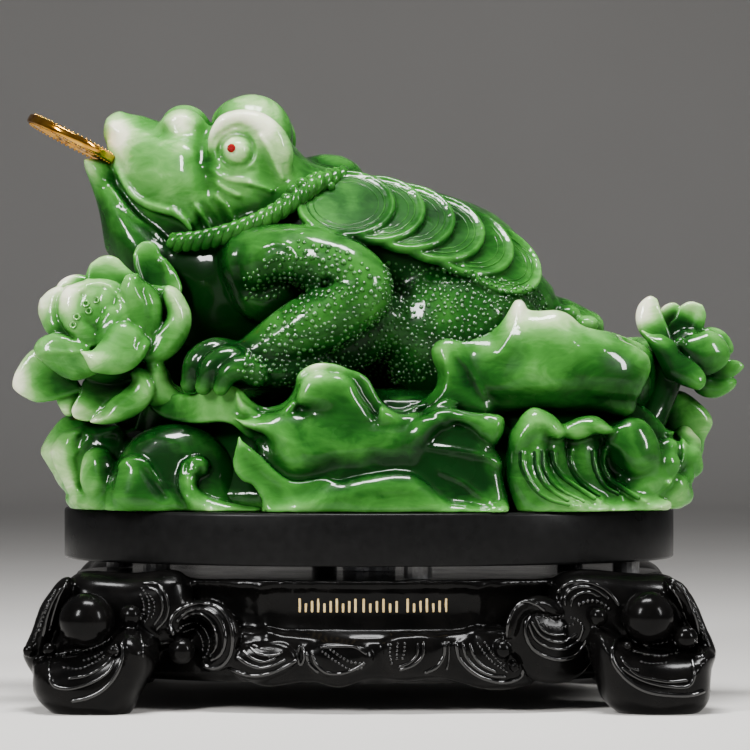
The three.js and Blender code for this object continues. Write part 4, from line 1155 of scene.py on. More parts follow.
RIGHT_RIDGES = (
    ([[519, 450], [519, 462], [525, 477], [535, 490], [549.5, 498.5], [568, 503.5]], 1.2, 0.9),
    ([[526, 451], [526, 464], [532, 478], [542, 490], [556, 498], [574, 502]], 0.8, 0.8),
    ([[532.5, 450], [534, 467], [541, 481], [552.5, 491], [566, 499]], 1.2, 0.9),
    ([[539, 450], [540, 465.5], [547, 478.5], [560, 490], [582, 501]], 1.1, 0.9),
    ([[550, 450], [552, 464], [559, 474], [573, 484.5], [594, 498]], 1.6, 1.1),
    ([[544, 449], [545, 464], [552, 477], [566, 489], [586, 500]], -0.8, 1.0),
    ([[567, 448], [567, 462.5], [573, 474.5], [584.5, 486], [598, 495]], 1.5, 1.0),
    ([[590, 450], [591, 462], [595, 474.5], [603.5, 486], [618, 494]], 1.3, 1.0),
    ([[600, 448], [599.7, 463], [607, 477], [620, 487], [639, 498]], 1.8, 1.3),
    ([[594, 448], [595, 462], [601, 476], [612, 488], [628, 498]], -0.9, 1.1),
    ([[664, 482], [670, 476], [678, 464], [682, 450], [681, 438], [675, 431.5], [667, 433]], 2.2, 1.5),
    ([[640, 498], [652, 504], [672, 505], [686, 500]], 0.8, 1.6),
)
WAVE_TUBES = (
    # crisp edges along the ridges, and their radius in millimetres
    ([[519, 452], [519, 463], [525, 477], [535, 490], [549, 498.5], [566, 503]], 1.0),
    ([[532.5, 452], [534, 467], [541, 481], [552.5, 491], [565, 498.5]], 1.0),
    ([[540, 451], [541, 466], [548, 479], [561, 490], [581, 500]], 0.9),
    ([[550.5, 452], [552.5, 464], [559.5, 474.5], [573.5, 485], [592, 497]], 1.2),
    ([[567.5, 450], [568, 462.5], [574, 475], [585, 486.5], [597, 494.5]], 1.2),
    ([[591, 452], [592, 463], [596, 475], [604, 486], [617, 493.5]], 1.0),
    ([[600.5, 450], [600.5, 463], [607.5, 477], [620.5, 487], [637, 497]], 1.3),
)
FOAM = (
    [667, 463, -50, 6.4], [675, 486, -44, 6.8], [691, 455, -30, 5], [694, 467, -30, 4.6],
    [685, 477, -38, 4.6], [684, 436, -24, 5], [692, 444, -26, 4.6], [660, 478, -52, 4.8],
    [668, 496, -46, 4.6], [684, 495, -38, 4.6], [668, 448, -46, 5],
)
# The leaf that stands up behind the foam
BEHIND_FORMS = (
    dict(depth=-2, front=4, back=8, edge=7, outline=[
        [650, 400], [672, 396], [690, 400], [702, 420], [700, 460], [676, 474], [650, 466], [642, 430]]),
    dict(depth=-12, front=4, back=8, edge=5, lean=(0.1, 0), outline=[
        [664, 424], [665, 402], [672, 391], [682, 391], [690, 395], [700, 403], [709, 412], [713, 422],
        [706, 438], [700, 453], [690, 458], [676, 454], [666, 442]]),
)


def right_waves_skin():
    clay = Clay(*RIGHT_BLOCK)
    clay.add_balls(RIGHT_CORE)
    clay.pillows(RIGHT_WAVES)
    clay.hollows(RIGHT_WAVE_HOLLOWS)
    clay.emboss_all(RIGHT_RIDGES, depth=-26)
    for column, row, depth, radius in FOAM:
        clay.add(ball(seen(column, row, depth), [radius] * 3), 2.5)
    clay.pillows(BEHIND_FORMS)
    clay.cut_below(CASTING_BOTTOM)
    paths = [clay.laid(rows, -60, radius, sink=0.35) for rows, radius in WAVE_TUBES]
    return merged([clay.skin(), *(limb(path, sides=10, steps=44) for path in paths)])


BACK_BLOCK = ([-150, -20, 92], [160, 101, 172], 1.3)
# The back leaves: the height and depth of each rim, and how far it swings up and down
BACK_RIMS = ((148, 78, 6), (122, 90, 5))
BACK_RIM_REACH = 105
BACK_WAVE = ([34, 64, 99, 10, 12], [10, 72, 103, 10, 13], [-6, 70, 118, 9, 12], [4, 72, 131, 6, 10])


def back_rim(height, depth, swing):
    """A wavy line across the back, bowed towards its middle."""
    for k in range(17):
        t = k / 8 - 1
        bow = math.sqrt(1 - 0.3 * t**2 - 0.55 * t**8)
        yield [BACK_RIM_REACH * t, depth * bow, height + swing * math.cos(k * 1.1)]


def back_skin():
    """Plainer leaves and waves close the back."""
    clay = Clay(*BACK_BLOCK)
    clay.add(mound(), 1)
    for height, depth, swing in BACK_RIMS:
        rim = list(back_rim(height, depth, swing))
        inner, below = list(back_rim(height + 4, depth - 26, 0)), list(back_rim(height - 16, depth - 10, 0))
        clay.add(leaf([inner, rim, below], 5), 2)
        clay.add(rim_roll(rim, 1.8), 1.5)
    for k in (-1, 0, 1):
        clay.add(limb([[60 * k + x, y - 8 * abs(k), *rest] for x, y, *rest in BACK_WAVE]), 2)
    clay.cut_below(CASTING_BOTTOM)
    return clay.skin(adaptivity=0.015)


# The lotus blooms

LEFT_BLOOM_BLOCK = ([-182, -92, 118], [-76, -8, 230], 0.75)
LEFT_BLOOM_HEART = [24, 18, 24]
LEFT_PETALS = (
    # from the back to the front
    dict(depth=-38, front=5, back=6, edge=6, cup=3, lean=(0.1, 0.1), outline=[
        [134, 262], [135, 250], [141, 242.5], [151, 241], [158, 246], [162, 256], [170, 263], [178, 275],
        [182, 291], [174, 302], [160, 304], [146, 290], [136, 274]]),
    dict(depth=-44, front=3, back=4, edge=4, outline=[
        [56, 289], [61, 280.5], [70, 275.5], [80, 274.5], [90, 278], [92, 292], [76, 300], [60, 296]]),
    dict(depth=-50, front=4, back=6, edge=6, cup=2, lean=(0.1, 0.15), outline=[
        [85, 290], [87, 272], [93, 262], [101, 256.5], [110, 255.5], [118, 258.5], [126, 266.5],
        [135, 274], [143, 279], [153, 287], [160, 297], [160, 315], [120, 320], [92, 306]]),
    dict(depth=-44, front=3, back=4, edge=4, outline=[
        [56, 397], [60, 408], [66, 416], [72, 416.5], [74, 406], [80, 394], [68, 390]]),
    dict(depth=-46, front=3.5, back=4, edge=5, cup=1.5, lean=(-0.1, 0.1), outline=[
        [12.5, 387], [14, 375], [18, 367], [25, 356.5], [34, 349], [46, 352], [60, 366], [78, 380],
        [82, 390], [66, 397.5], [50, 401.5], [35, 402], [27, 398.5], [18, 393]]),
    dict(depth=-56, front=5, back=7, edge=7, lean=(-0.3, 0.15), outline=[
        [37.5, 310], [40, 299.5], [47, 291], [56, 286.5], [67, 285], [78, 287], [90, 296], [94, 318],
        [86, 338], [64, 338], [48, 334], [41, 322]]),
    dict(depth=-50, front=5, back=8, edge=4, lean=(0.1, 0), outline=[
        [132, 286], [150, 284], [166, 288], [180, 298], [186, 316], [180, 336], [166, 350], [146, 358],
        [132, 346]]),
    dict(depth=-60, front=6, back=12, edge=9, lean=(0.05, 0.15), outline=[
        [62, 290], [75, 283], [90, 279], [108, 279], [122, 285], [131, 300], [130, 322], [120, 340],
        [100, 350], [84, 347], [70, 338], [60, 322], [58, 305]]),
    dict(depth=-50, front=4, back=8, edge=4, cup=3, lean=(0.1, 0.1), outline=[
        [80, 393], [75, 402], [72, 410], [74, 417], [84, 421], [98, 419.5], [110, 404], [122, 394],
        [133, 384], [133, 370], [122, 373], [100, 375], [84, 380]]),
    dict(depth=-62, front=6, back=8, edge=6, lean=(-0.15, -0.1), outline=[
        [33.5, 350], [36, 342.5], [43, 336.5], [53, 333.5], [66, 334], [84, 340], [94, 352], [100, 371],
        [90, 377], [78, 380.5], [68, 379.5], [54, 372], [42, 362]]),
    dict(depth=-61, front=7, back=14, edge=8, lean=(0.3, 0), outline=[
        [130, 274], [143, 280], [154, 288], [161, 299], [163, 318], [160, 335], [150, 352], [138, 364],
        [124, 360], [114, 345], [112, 328], [114, 310], [118, 296], [122, 284]]),
    dict(depth=-65, front=4, back=8, edge=5, lean=(0.1, 0), outline=[
        [100, 318], [108, 308], [118, 306], [126, 314], [126, 328], [118, 342], [106, 350], [96, 344],
        [96, 330]]),
    dict(depth=-70, front=6, back=12, edge=8, lean=(0.2, 0.15), outline=[
        [83, 352], [92, 350.5], [100, 344], [107, 335], [117, 322], [128, 320], [142, 330], [149, 344],
        [143, 359], [133, 369], [118, 374.5], [103, 374], [92, 371], [87, 362]]),
    dict(depth=-58, front=7, back=8, edge=6, lean=(0.15, 0.05), outline=[
        [142, 358], [148, 348], [155, 336], [162, 326], [167, 314], [165, 304], [163, 296], [165, 289.5],
        [173, 286.5], [179, 290], [186, 300], [191, 312], [191.5, 324], [188, 336], [182, 347],
        [172, 357], [160, 363], [148, 364]]),
    dict(depth=-60, front=7, back=9, edge=6, lean=(0.1, 0.1), outline=[
        [90, 421.5], [100, 415], [111, 401], [123, 391.5], [132, 383], [130, 372], [136, 365],
        [145, 367], [154, 376], [158, 388], [152, 401], [141, 412.5], [126, 420.5], [108, 424.5]]),
)
LEFT_BLOOM_LINES = (
    ([[40, 357], [48, 352.5], [62, 352], [76, 352.5], [86, 352]], 0.9, 1.2, -40),
    ([[94, 347], [102, 343], [109, 334], [118, 322]], 0.9, 1.3, -40),
    ([[42, 300], [46, 312], [52, 324], [58, 332]], 0.5, 1.6, -40),
    ([[94, 266], [92, 278], [90, 290]], 0.6, 1.2, -36),
    ([[112, 262], [122, 272], [134, 284], [142, 300]], 0.5, 2.4, -36),
    ([[136, 256], [138, 268], [142, 280]], 1.0, 1.0, -30),
    ([[164, 262], [168, 274], [170, 290]], 1.2, 2.0, -30),
    ([[144, 357], [152, 346], [160, 335], [172, 325]], 0.8, 1.3, -40),
    ([[98, 417], [112, 402], [124, 392], [133, 383]], 0.8, 1.3, -40),
    ([[66, 288], [60, 300], [60, 316], [68, 330], [78, 338]], -1.1, 1.2, -40),
    ([[84, 292], [92, 286], [104, 284], [114, 288], [122, 298]], 0.9, 1.1, -40),
    ([[86, 296], [84, 308], [90, 322], [100, 330]], -0.9, 1.3, -40),
    ([[106, 290], [102, 302], [106, 314]], -0.7, 1.3, -40),
    ([[124, 296], [132, 310], [136, 326]], -0.7, 1.6, -40),
    ([[146, 292], [152, 310], [150, 330], [142, 346]], -0.8, 1.4, -40),
)
SEEDS = ([73.5, 325], [77, 317], [86, 303.5], [89, 311], [96, 300])
SEED_RADIUS = 0.7
LEFT_STEM = (
    [140, 366, -46, 8], [156, 376, -46, 6.5], [160, 392, -44, 6.5], [158, 416, -38, 9], [152, 440, -32, 10],
)
LEFT_NECK = ([150, 392, -42, 5], [168, 396, -42, 6], [186, 404, -46, 7], [204, 412, -50, 8])
LEFT_FOLD = dict(depth=-22, front=6, back=14, edge=6, outline=[
    [128, 398], [150, 388], [178, 392], [190, 410], [186, 446], [150, 452], [118, 440], [116, 416]])
LEFT_COLLAR = dict(depth=-55, seam=3, front=7, back=18, edge=8, lean=(0, -0.3), outline=[
    [146, 356], [160, 358], [167, 368], [170, 380], [177, 390], [188, 398], [184, 408], [162, 410],
    [148, 404], [146, 388], [146, 372]])


def left_bloom_skin():
    clay = Clay(*LEFT_BLOOM_BLOCK)
    clay.add(ball(seen(108, 334, -46), LEFT_BLOOM_HEART), 3)
    clay.add(limb(stations(LEFT_STEM)), 3)
    clay.pillow(**LEFT_FOLD)
    clay.add(limb(stations(LEFT_NECK)), 3)
    clay.pillow(**LEFT_COLLAR)
    clay.pillows(LEFT_PETALS, seam=0.8)
    clay.emboss_all(LEFT_BLOOM_LINES)
    skins = [clay.skin()]
    for column, row in SEEDS:
        x, y, z = clay.laid([[column, row], [column + 0.5, row]], -66, 1.0, 2)[0, :3]
        skins.append(circle([x, y - 0.1, z], [-0.15, -1, 0.25], 1.35, 0.6, sides=16))
        skins.append(ball([x, y + 0.2, z], [SEED_RADIUS] * 3, sides=10))
    return merged(skins)


RIGHT_BLOOM_BLOCK = ([124, -60, 106], [188, 24, 204], 0.7)
RIGHT_BLOOM_HEART = [11, 9, 11]
RIGHT_PETALS = (
    dict(depth=-8, front=3, back=7, edge=6, cup=1.5, outline=[
        [659, 318], [661, 309], [667, 304], [674, 302.5], [680, 306], [684, 316], [680, 334],
        [666, 334]]),
    dict(depth=-14, front=3.5, back=9, edge=7, cup=3.5, lean=(0, 0.1), outline=[
        [676, 316], [679, 308], [685, 303.5], [693, 301.5], [701, 305], [706, 313], [705, 323],
        [702, 332], [692, 342], [676, 342], [668, 328]]),
    dict(depth=-12, front=3.5, back=8, edge=7, lean=(0.2, 0), outline=[
        [700, 332], [707, 327.5], [717, 328], [726, 333], [732, 341], [734, 351], [724, 358], [708, 352],
        [700, 342]]),
    dict(depth=-18, front=3, back=9, edge=5, cup=1.5, lean=(0.1, 0), outline=[
        [712, 366], [724, 361], [736, 360], [744.5, 366], [739, 373], [728, 379], [714, 378]]),
    dict(depth=-18, front=5, back=11, edge=7, lean=(0.1, 0.1), outline=[
        [694, 372], [706, 372], [720, 377.5], [731, 377], [737, 380], [736, 386], [728, 393], [717, 398],
        [704, 397], [694, 390]]),
    dict(depth=-24, front=7, back=8, edge=13, lean=(0.15, 0.05), outline=[
        [676, 346], [684, 338], [697, 334], [708, 330], [718, 334], [727, 343], [731, 354], [727, 364],
        [717, 372], [704, 376], [692, 372], [682, 360]]),
    dict(depth=-22, front=4, back=9, edge=8, cup=1, lean=(-0.1, 0.15), outline=[
        [637, 326], [636, 315], [639, 305], [645, 298.5], [651, 295.5], [657, 298], [660, 306],
        [664, 318], [670, 332], [672, 344], [664, 352], [652, 344], [642, 336]]),
    dict(depth=-32, front=5, back=8, edge=9, lean=(-0.05, 0.2), outline=[
        [642, 330], [652, 334], [664, 334], [674, 340], [683, 352], [693, 360], [701, 368], [706, 377],
        [704, 386], [699, 390], [689, 388], [676, 383], [665, 376], [658, 362], [650, 346]]),
)


RIGHT_STEM = (
    [666, 352, -20, 6.5], [666, 368, -22, 8.5], [662, 390, -24, 8], [654, 410, -26, 8],
    [646, 430, -30, 8.5], [640, 446, -34, 9],
)
RIGHT_BLOOM_LINES = (
    ([[700, 306], [696, 318], [690, 332]], 0.6, 1.6, 0),
    ([[686, 306], [684, 318], [682, 330]], 0.6, 1.6, 0),
    ([[652, 300], [656, 316], [662, 334], [676, 352], [694, 374]], -0.5, 1.6, -10),
)


def right_bloom_skin():
    clay = Clay(*RIGHT_BLOOM_BLOCK)
    clay.add(ball(seen(688, 352, -16), RIGHT_BLOOM_HEART), 2)
    clay.add(limb(stations(RIGHT_STEM)), 2)
    clay.pillows(RIGHT_PETALS, seam=0.7)
    clay.emboss_all(RIGHT_BLOOM_LINES)
    clay.add(ball(seen(681, 343, -28), [3, 3, 3]), 0.5)
    return clay.skin()


# The carved stand. Its front is built from pixels, and its back is the front's mirror image

STAND_RATIO = 0.68
STAND_RADIUS = 147
STAND_VOXEL = 1.15
# Half the length and depth of the stand's block, and its lowest and highest levels
STAND_BLOCK = (172, 120, -8, 68)
# The depths at which threads, beads and strokes show at their pixels, before they are laid on the stand
CARVING_DEPTH = -94
STROKE_DEPTH = -92
STAND_LEVELS = (
    [120, 13], [140, 13.5], [145.5, 17], [147, 24], [146.5, 31], [143, 36], [137.5, 39], [136, 46],
    [137.5, 54], [141, 57.5], [143, 58.5], [143, 60.8], [142.4, 61.5], [120, 61.6],
)
CORNER_DEPTH = -72
FOOT_DEPTH = -92
EDGE_DEPTH = -84
STAND_CORNERS = (
    dict(depth=CORNER_DEPTH, front=16, back=40, edge=14, lean=(-0.1, 0), outline=[
        [58, 604], [74, 575], [130, 573], [184, 573], [192, 600], [188, 640], [150, 650], [100, 658],
        [58, 666], [40, 662], [38, 644], [46, 622]]),
    dict(depth=FOOT_DEPTH, front=18, back=34, edge=17, outline=[
        [36, 662], [33, 676], [34, 692], [41, 703], [50, 711], [58, 718], [90, 726], [126, 722],
        [135, 706], [142, 693], [149, 681], [155, 670], [160, 655], [156, 642], [146, 634], [130, 626],
        [112, 638], [90, 650], [66, 655], [48, 658]]),
    dict(depth=-98, front=14, back=20, edge=14, outline=[
        [116, 640], [128, 634], [142, 638], [152, 648], [150, 662], [140, 670], [126, 664], [118, 652]]),
    dict(depth=EDGE_DEPTH, front=7, back=18, edge=7, lean=(-0.3, 0), outline=[
        [71, 577], [65, 577], [57, 583], [50, 592], [41, 605], [35.5, 619], [30, 635], [24, 648],
        [22.5, 655], [27, 666], [35, 675], [44, 670], [47, 655], [50, 640], [56, 622], [64, 604],
        [72, 590]]),
    dict(depth=CORNER_DEPTH, front=16, back=40, edge=14, lean=(0.1, 0), outline=[
        [556, 576], [640, 574], [672, 577], [690, 600], [700, 630], [700, 650], [640, 655], [590, 650],
        [560, 640]]),
    dict(depth=FOOT_DEPTH, front=18, back=34, edge=17, outline=[
        [590, 640], [596, 628], [610, 632], [626, 642], [650, 650], [684, 652], [710, 648], [716, 656],
        [712, 668], [711, 688], [709, 701], [701, 711], [688, 718], [658, 725], [636, 720], [616, 711],
        [602, 698], [595, 680], [591, 660]]),
    dict(depth=EDGE_DEPTH, front=7, back=18, edge=7, lean=(0.3, 0), outline=[
        [669, 578], [681, 582], [692, 595], [700, 610], [708, 629], [715, 645], [717, 653], [712, 666],
        [702, 662], [698, 640], [688, 622], [678, 604], [666, 590]]),
)
STAND_BALLS = (
    # column, row, depth, radius in millimetres
    [87, 621, -97, 13.3], [131, 616, -95, 5.3], [182, 651, -90, 6.4], [50, 649.5, -94, 3.4],
    [29, 651, -90, 3], [171, 632, -91, 1.7], [648.5, 617.5, -97, 12.5], [686, 638, -98, 5.8],
    [598.5, 617, -96, 4.6], [627.5, 646, -106, 2.4], [503.5, 650, -97, 4.2], [515, 667, -97, 2.6],
    [286, 652, -99, 2.2], [369, 656, -101, 2.0], [113, 650, -109, 2.6],
)
APRON_FORMS = (
    # outline in pixels, how far it stands out from the oval body, thickness in front, and rounding
    ([[196, 664], [225, 671], [240, 680], [268, 688], [289, 685], [311, 682], [338, 688], [375, 678.5],
      [407, 682], [441, 679], [488, 691], [520, 690], [536, 684], [536, 645], [370, 640], [196, 645]], -2,
      4, 5, 0.0024),
    ([[140, 585], [150, 583], [161, 588], [168, 598], [170, 608], [168, 620], [161, 629], [150, 633],
      [141, 632], [148, 626], [154, 618], [156, 608], [153, 598], [147, 591]], 4, 4, 5, 0),
    ([[166, 634], [166, 624], [171, 614], [181, 606], [194, 601], [208, 599], [222, 604], [231, 613],
      [237, 626], [239, 640], [236, 654], [229, 665], [217, 671], [205, 670], [200, 663], [206, 660],
      [212, 652], [214, 640], [212, 629], [204, 621], [194, 618], [184, 621], [178, 628], [174, 635]], 2,
      5, 6, 0),
    ([[226, 660], [236, 650], [262, 643], [290, 645], [298, 658], [290, 670], [272, 678], [254, 681],
      [238, 677]], 1, 4, 7, 0),
    ([[305, 650], [318, 643], [350, 643], [372, 650], [374, 662], [360, 672], [338, 678], [318, 675],
      [308, 664]], 1, 4, 7, 0),
    ([[384, 642], [448, 642], [446, 658], [438, 670], [424, 676], [404, 676], [388, 668]], 1, 4, 7, 0),
    ([[454, 642], [500, 641], [522, 650], [527, 664], [522, 678], [508, 686], [490, 685], [472, 677],
      [460, 662]], 2, 4, 8, 0),
    ([[506, 634], [508, 620], [514, 608], [524, 600], [536, 606], [560, 612], [590, 616], [600, 630],
      [598, 652], [588, 670], [574, 681], [556, 684], [540, 682], [527, 675], [517, 658], [508, 646]], 4,
      6, 12, 0),
    ([[507, 628], [510, 614], [518, 604], [528, 598], [540, 595.5], [552, 599], [561, 607], [566, 616],
      [556, 617], [544, 613], [532, 613], [524, 618], [520, 630], [514, 638], [508, 637]], 9, 4.5, 7, 0),
    ([[558, 606], [558, 594], [564, 587], [574, 583], [584, 582], [598, 585], [610, 592], [619, 603],
      [622, 612], [612, 610], [600, 604], [586, 603], [576, 608], [568, 614]], 6, 5, 6, 0),
)
PANEL_LINES = (
    ([[262, 588], [264, 606], [270, 628]], 1.6, 4),
    ([[478, 588], [477, 606], [472, 628]], 1.6, 4),
    ([[240, 588], [242, 606], [246, 630]], 1.0, 6),
    ([[500, 588], [498, 606], [494, 630]], 1.0, 6),
    ([[186, 584], [188, 594], [186, 602]], 1.0, 3),
)
STAND_RIDGES = (
    # the left foot
    ([[51, 662], [52, 674], [57, 683], [70, 686], [86, 683], [102, 676], [112, 668], [117, 658]], 0.8),
    ([[72, 676], [86, 674], [98, 669], [108, 662], [113, 656]], 0.8),
    ([[76, 698], [90, 695], [104, 688], [115, 677], [122, 664], [125, 652], [124, 642]], 1.0),
    ([[118, 642], [120, 648], [118, 654]], 0.7),
    ([[120, 630], [130, 627.5], [139, 630], [145, 643], [156, 644.5], [168, 643.5]], 0.6),
    ([[145, 643], [145, 654]], 0.5),
    ([[60, 590], [53, 602], [47, 618], [43, 636]], 0.9),
    ([[66, 584], [60, 596], [54, 612], [49, 630]], 0.8),
    ([[52, 596], [44, 610], [38, 626], [33, 642]], 0.8),
    # the left scrolls
    ([[143, 584], [156, 585], [165, 594], [168, 607], [165, 620], [156, 630]], 0.8),
    ([[147, 588], [157, 592], [162, 602], [161, 614], [154, 625]], 0.7),
    ([[173, 634], [170, 626], [173, 616], [184, 608], [198, 604], [212, 605], [224, 612], [231, 624],
      [233, 640], [230, 656], [221, 666], [210, 668], [203, 664], [203, 659]], 1.0),
    ([[177, 622], [186, 613], [198, 609], [210, 611], [220, 619], [225, 631], [225, 645], [220, 655],
      [212, 660]], 0.9),
    ([[183, 619], [194, 614], [205, 616], [213, 624], [217, 636], [216, 648], [211, 656]], 0.9),
    # along the apron
    ([[229, 668], [240, 672.5], [254, 675], [270, 672.5], [283, 667], [296, 660]], 0.9),
    ([[238, 657], [248, 663.5], [260, 667], [273, 664.5], [285, 659]], 0.8),
    ([[244, 651], [253, 658], [264, 661], [275, 658]], 0.7),
    ([[250, 647], [259, 653], [270, 654.5], [280, 653]], 0.7),
    ([[254, 645], [262, 648], [274, 649]], 0.6),
    ([[300, 646], [298, 656], [301, 664], [305, 656], [303, 646]], 0.8),
    ([[307, 652], [310, 662], [318, 670]], 0.9),
    ([[313, 653], [317, 663], [327, 671], [340, 672], [354, 668], [364, 662]], 0.8),
    ([[322, 646], [340, 645], [356, 646], [366, 652]], 0.7),
    ([[423.6, 642], [422.5, 654], [414, 663], [401, 668]], 0.8),
    ([[418, 643], [417, 653], [410, 661], [400, 665]], 0.7),
    ([[445, 642], [444, 654], [437, 665.5], [426, 671]], 0.9),
    ([[449, 642], [449, 656], [447, 668]], 0.6),
    ([[456, 642], [459, 656], [471, 670], [488, 679], [508, 682], [521, 677], [524, 670]], 1.0),
    ([[463, 643], [466, 655], [476, 667], [490, 674.5], [505, 676.5]], 0.8),
    ([[470, 644], [474, 655], [483, 665], [495, 671]], 0.8),
    # the right scrolls
    ([[530, 616], [526, 622], [526, 634], [532, 647], [545, 656], [563, 660], [579, 655], [587, 643]], 1.0),
    ([[529, 625], [535, 638], [548, 647], [566, 649.5], [579, 642], [584, 630]], 0.8),
    ([[532, 622], [540, 634], [552, 641], [566, 642], [577, 635]], 0.8),
    ([[536, 618], [543, 630], [554, 635], [566, 635]], 0.7),
    ([[507, 636], [508, 622], [514, 609], [524, 601], [534, 603], [544, 610]], 0.8),
    ([[559, 604], [559, 594], [566, 586], [580, 582.5], [597, 585.5], [611, 594], [620, 606]], 0.9),
    ([[566, 605], [566, 597], [573, 590], [585, 587.5], [598, 591], [609, 599]], 0.7),
    ([[572, 606], [573, 600], [580, 594.5], [590, 593], [600, 597]], 0.7),
    # the right foot
    ([[626, 638], [617, 639], [611, 648], [612, 659], [619, 670], [628, 679], [644, 688], [667, 692],
      [690, 692], [701, 689.5]], 1.1),
    ([[621, 666], [630, 672.5], [644, 679], [667, 684], [687, 683], [692, 674], [691, 659]], 0.8),
    ([[629, 668], [637, 673.5], [651, 677], [669, 679.5], [684, 678]], 0.8),
    ([[620, 656], [626, 664], [636, 668]], 0.8),
    ([[694, 640], [700, 648], [701, 656], [690, 654]], 0.8),
    ([[672, 580], [682, 588], [690, 602], [696, 618], [700, 634]], 0.9),
    ([[667, 584], [676, 594], [684, 610], [690, 628]], 0.7),
    ([[682, 586], [694, 604], [704, 628], [710, 646]], 0.8),
)
STAND_BEADS = (
    # a row of beads along pixels, their radius and their spacing in millimetres
    ([[62, 656], [76, 652], [90, 648], [104, 642], [112, 638]], 0.9, 2.2),
    ([[66, 666], [80, 667], [94, 662], [106, 655]], 0.9, 2.2),
    ([[86, 659], [96, 656], [106, 650]], 1.1, 2.6),
    ([[141, 589], [147, 598], [149, 608], [147, 618], [142, 626]], 0.8, 1.8),
    ([[140, 596], [143, 604], [143, 614], [140, 620]], 0.8, 1.8),
    ([[148, 594], [153, 602], [154, 612], [150, 621]], 0.7, 1.8),
    ([[177, 632], [184, 626], [194, 625], [203, 631], [209, 641], [208, 652], [204, 660]], 0.9, 2.0),
    ([[183, 633], [192, 631], [199, 637], [203, 646], [202, 655]], 0.9, 2.0),
    ([[270, 656], [278, 654], [284, 650]], 0.7, 1.7),
    ([[323, 650], [332, 657], [342, 663], [352, 668], [362, 666]], 0.8, 1.9),
    ([[328, 646], [338, 653], [350, 660], [362, 662]], 0.8, 1.9),
    ([[391, 643], [390, 652], [392, 662]], 0.8, 1.8),
    ([[398, 642], [397, 652], [397, 660]], 0.8, 1.8),
    ([[405, 642], [404, 652], [402, 660]], 0.8, 1.8),
    ([[478, 643], [484, 652], [492, 661], [502, 668], [509, 673]], 0.8, 1.8),
    ([[485, 642], [491, 651], [498, 660], [506, 667]], 0.8, 1.8),
    ([[540, 617], [550, 618], [558, 617], [566, 616]], 0.8, 1.9),
    ([[540, 623], [552, 628], [564, 628], [576, 624]], 0.9, 2.1),
    ([[572, 618], [580, 622], [584, 628]], 0.8, 1.9),
    ([[580, 605], [588, 602], [597, 602], [606, 606], [611, 611]], 1.0, 2.2),
    ([[635, 642], [648, 645], [662, 645], [676, 642]], 1.0, 2.2),
    ([[633, 650], [648, 654], [664, 655], [680, 652]], 1.0, 2.2),
    ([[640, 660], [652, 662], [666, 661]], 0.8, 2.0),
    ([[55, 592], [49, 604], [43, 618], [38, 634]], 1.1, 2.4),
    ([[686, 594], [694, 608], [700, 622], [705, 636]], 1.0, 2.3),
)
# Rows of gilt strokes: the first one's column, their number and their pitch in pixels
STROKE_GROUPS = ([300, 10, 6.2], [364, 6, 6.6], [408, 7, 6.4])
STROKE_ROWS = (599, 612)


def at_stand(column, proud):
    """The depth of the stand's oval front at a column, moved forward, and its slope there."""
    x = seen(column, EYE_ROW, -90)[0]
    reach = math.sqrt(STAND_RADIUS**2 - min(abs(x), 120) ** 2)
    return -STAND_RATIO * reach - proud, STAND_RATIO * x / reach


def stand_clay():
    length, depth, low, high = STAND_BLOCK
    step = STAND_VOXEL * COARSER
    half = step * round(depth / step)
    clay = Clay([-length, -half, low], [length, half - 0.01, high], STAND_VOXEL)
    clay.add(oval_rings(STAND_LEVELS, STAND_RATIO), 1)
    clay.pillows(STAND_CORNERS, seam=3)
    for column, row, depth, radius in STAND_BALLS:
        clay.add(ball(seen(column, row, depth), [radius] * 3), 0.8)
    for outline, proud, front, edge, sag in APRON_FORMS:
        depth, slope = at_stand(np.mean([column for column, _ in outline]), proud)
        clay.pillow(outline, depth, seam=1.2, front=front, back=14, edge=edge, lean=(slope, 0), sag=sag)
    clay.emboss_all(PANEL_LINES, depth=-70)
    clay.cut_below(0)
    clay.mirror()
    return clay


def beads_on(clay, rows, radius, spacing):
    path = clay.laid(rows, CARVING_DEPTH, radius, 60)[:, :3]
    run = np.concatenate([[0], np.cumsum(np.linalg.norm(np.diff(path, axis=0), axis=1))])
    for at in np.arange(0, run[-1], spacing):
        place = [np.interp(at, run, path[:, axis]) for axis in range(3)]
        yield ball(place, [radius, radius * 0.8, radius], sides=8)


def stand_carving(clay):
    """Raised threads and beads on the front, and their mirror images on the back."""
    skins = []
    for rows, radius in STAND_RIDGES:
        path = clay.laid(rows, CARVING_DEPTH, 1.15 * radius, sink=0.05)
        skins.append(limb(path, sides=7, steps=6 * len(rows)))
    for rows, radius, spacing in STAND_BEADS:
        skins += beads_on(clay, rows, radius, spacing)
    front = merged(skins)
    return merged([front, mirrored(front)])


def stand_strokes(clay):
    """Three rows of short gilt strokes on the panel. They aren't letters."""
    skins = []
    for first, count, pitch in STROKE_GROUPS:
        for k in range(count):
            column = first + k * pitch
            top = STROKE_ROWS[0] + 2.5 * ((k * 5) % 3)
            rows = clay.laid([[column, top], [column, STROKE_ROWS[1]]], STROKE_DEPTH, 0.3, 4)
            skins.append(limb([[*row, 0.6] for row in rows], across=(1, 0, 0), sides=8, steps=6))
    return merged(skins)


def disc_skin():
    radius = (DISC_HIGH[0] - DISC_LOW[0]) / 2
    ratio = (DISC_HIGH[1] - DISC_LOW[1]) / 2 / radius
    low, high = DISC_LOW[2], DISC_HIGH[2]
    levels = [
        [radius - 6, low], [radius - 1.4, low], [radius - 0.4, low + 0.4], [radius, low + 1.4],
        [radius, high - 1.6], [radius - 0.25, high - 0.8], [radius - 0.8, high - 0.25],
        [radius - 1.6, high], [radius - 8, high],
    ]
    return oval_rings(levels, ratio, 288)


# The gold coin in the mouth

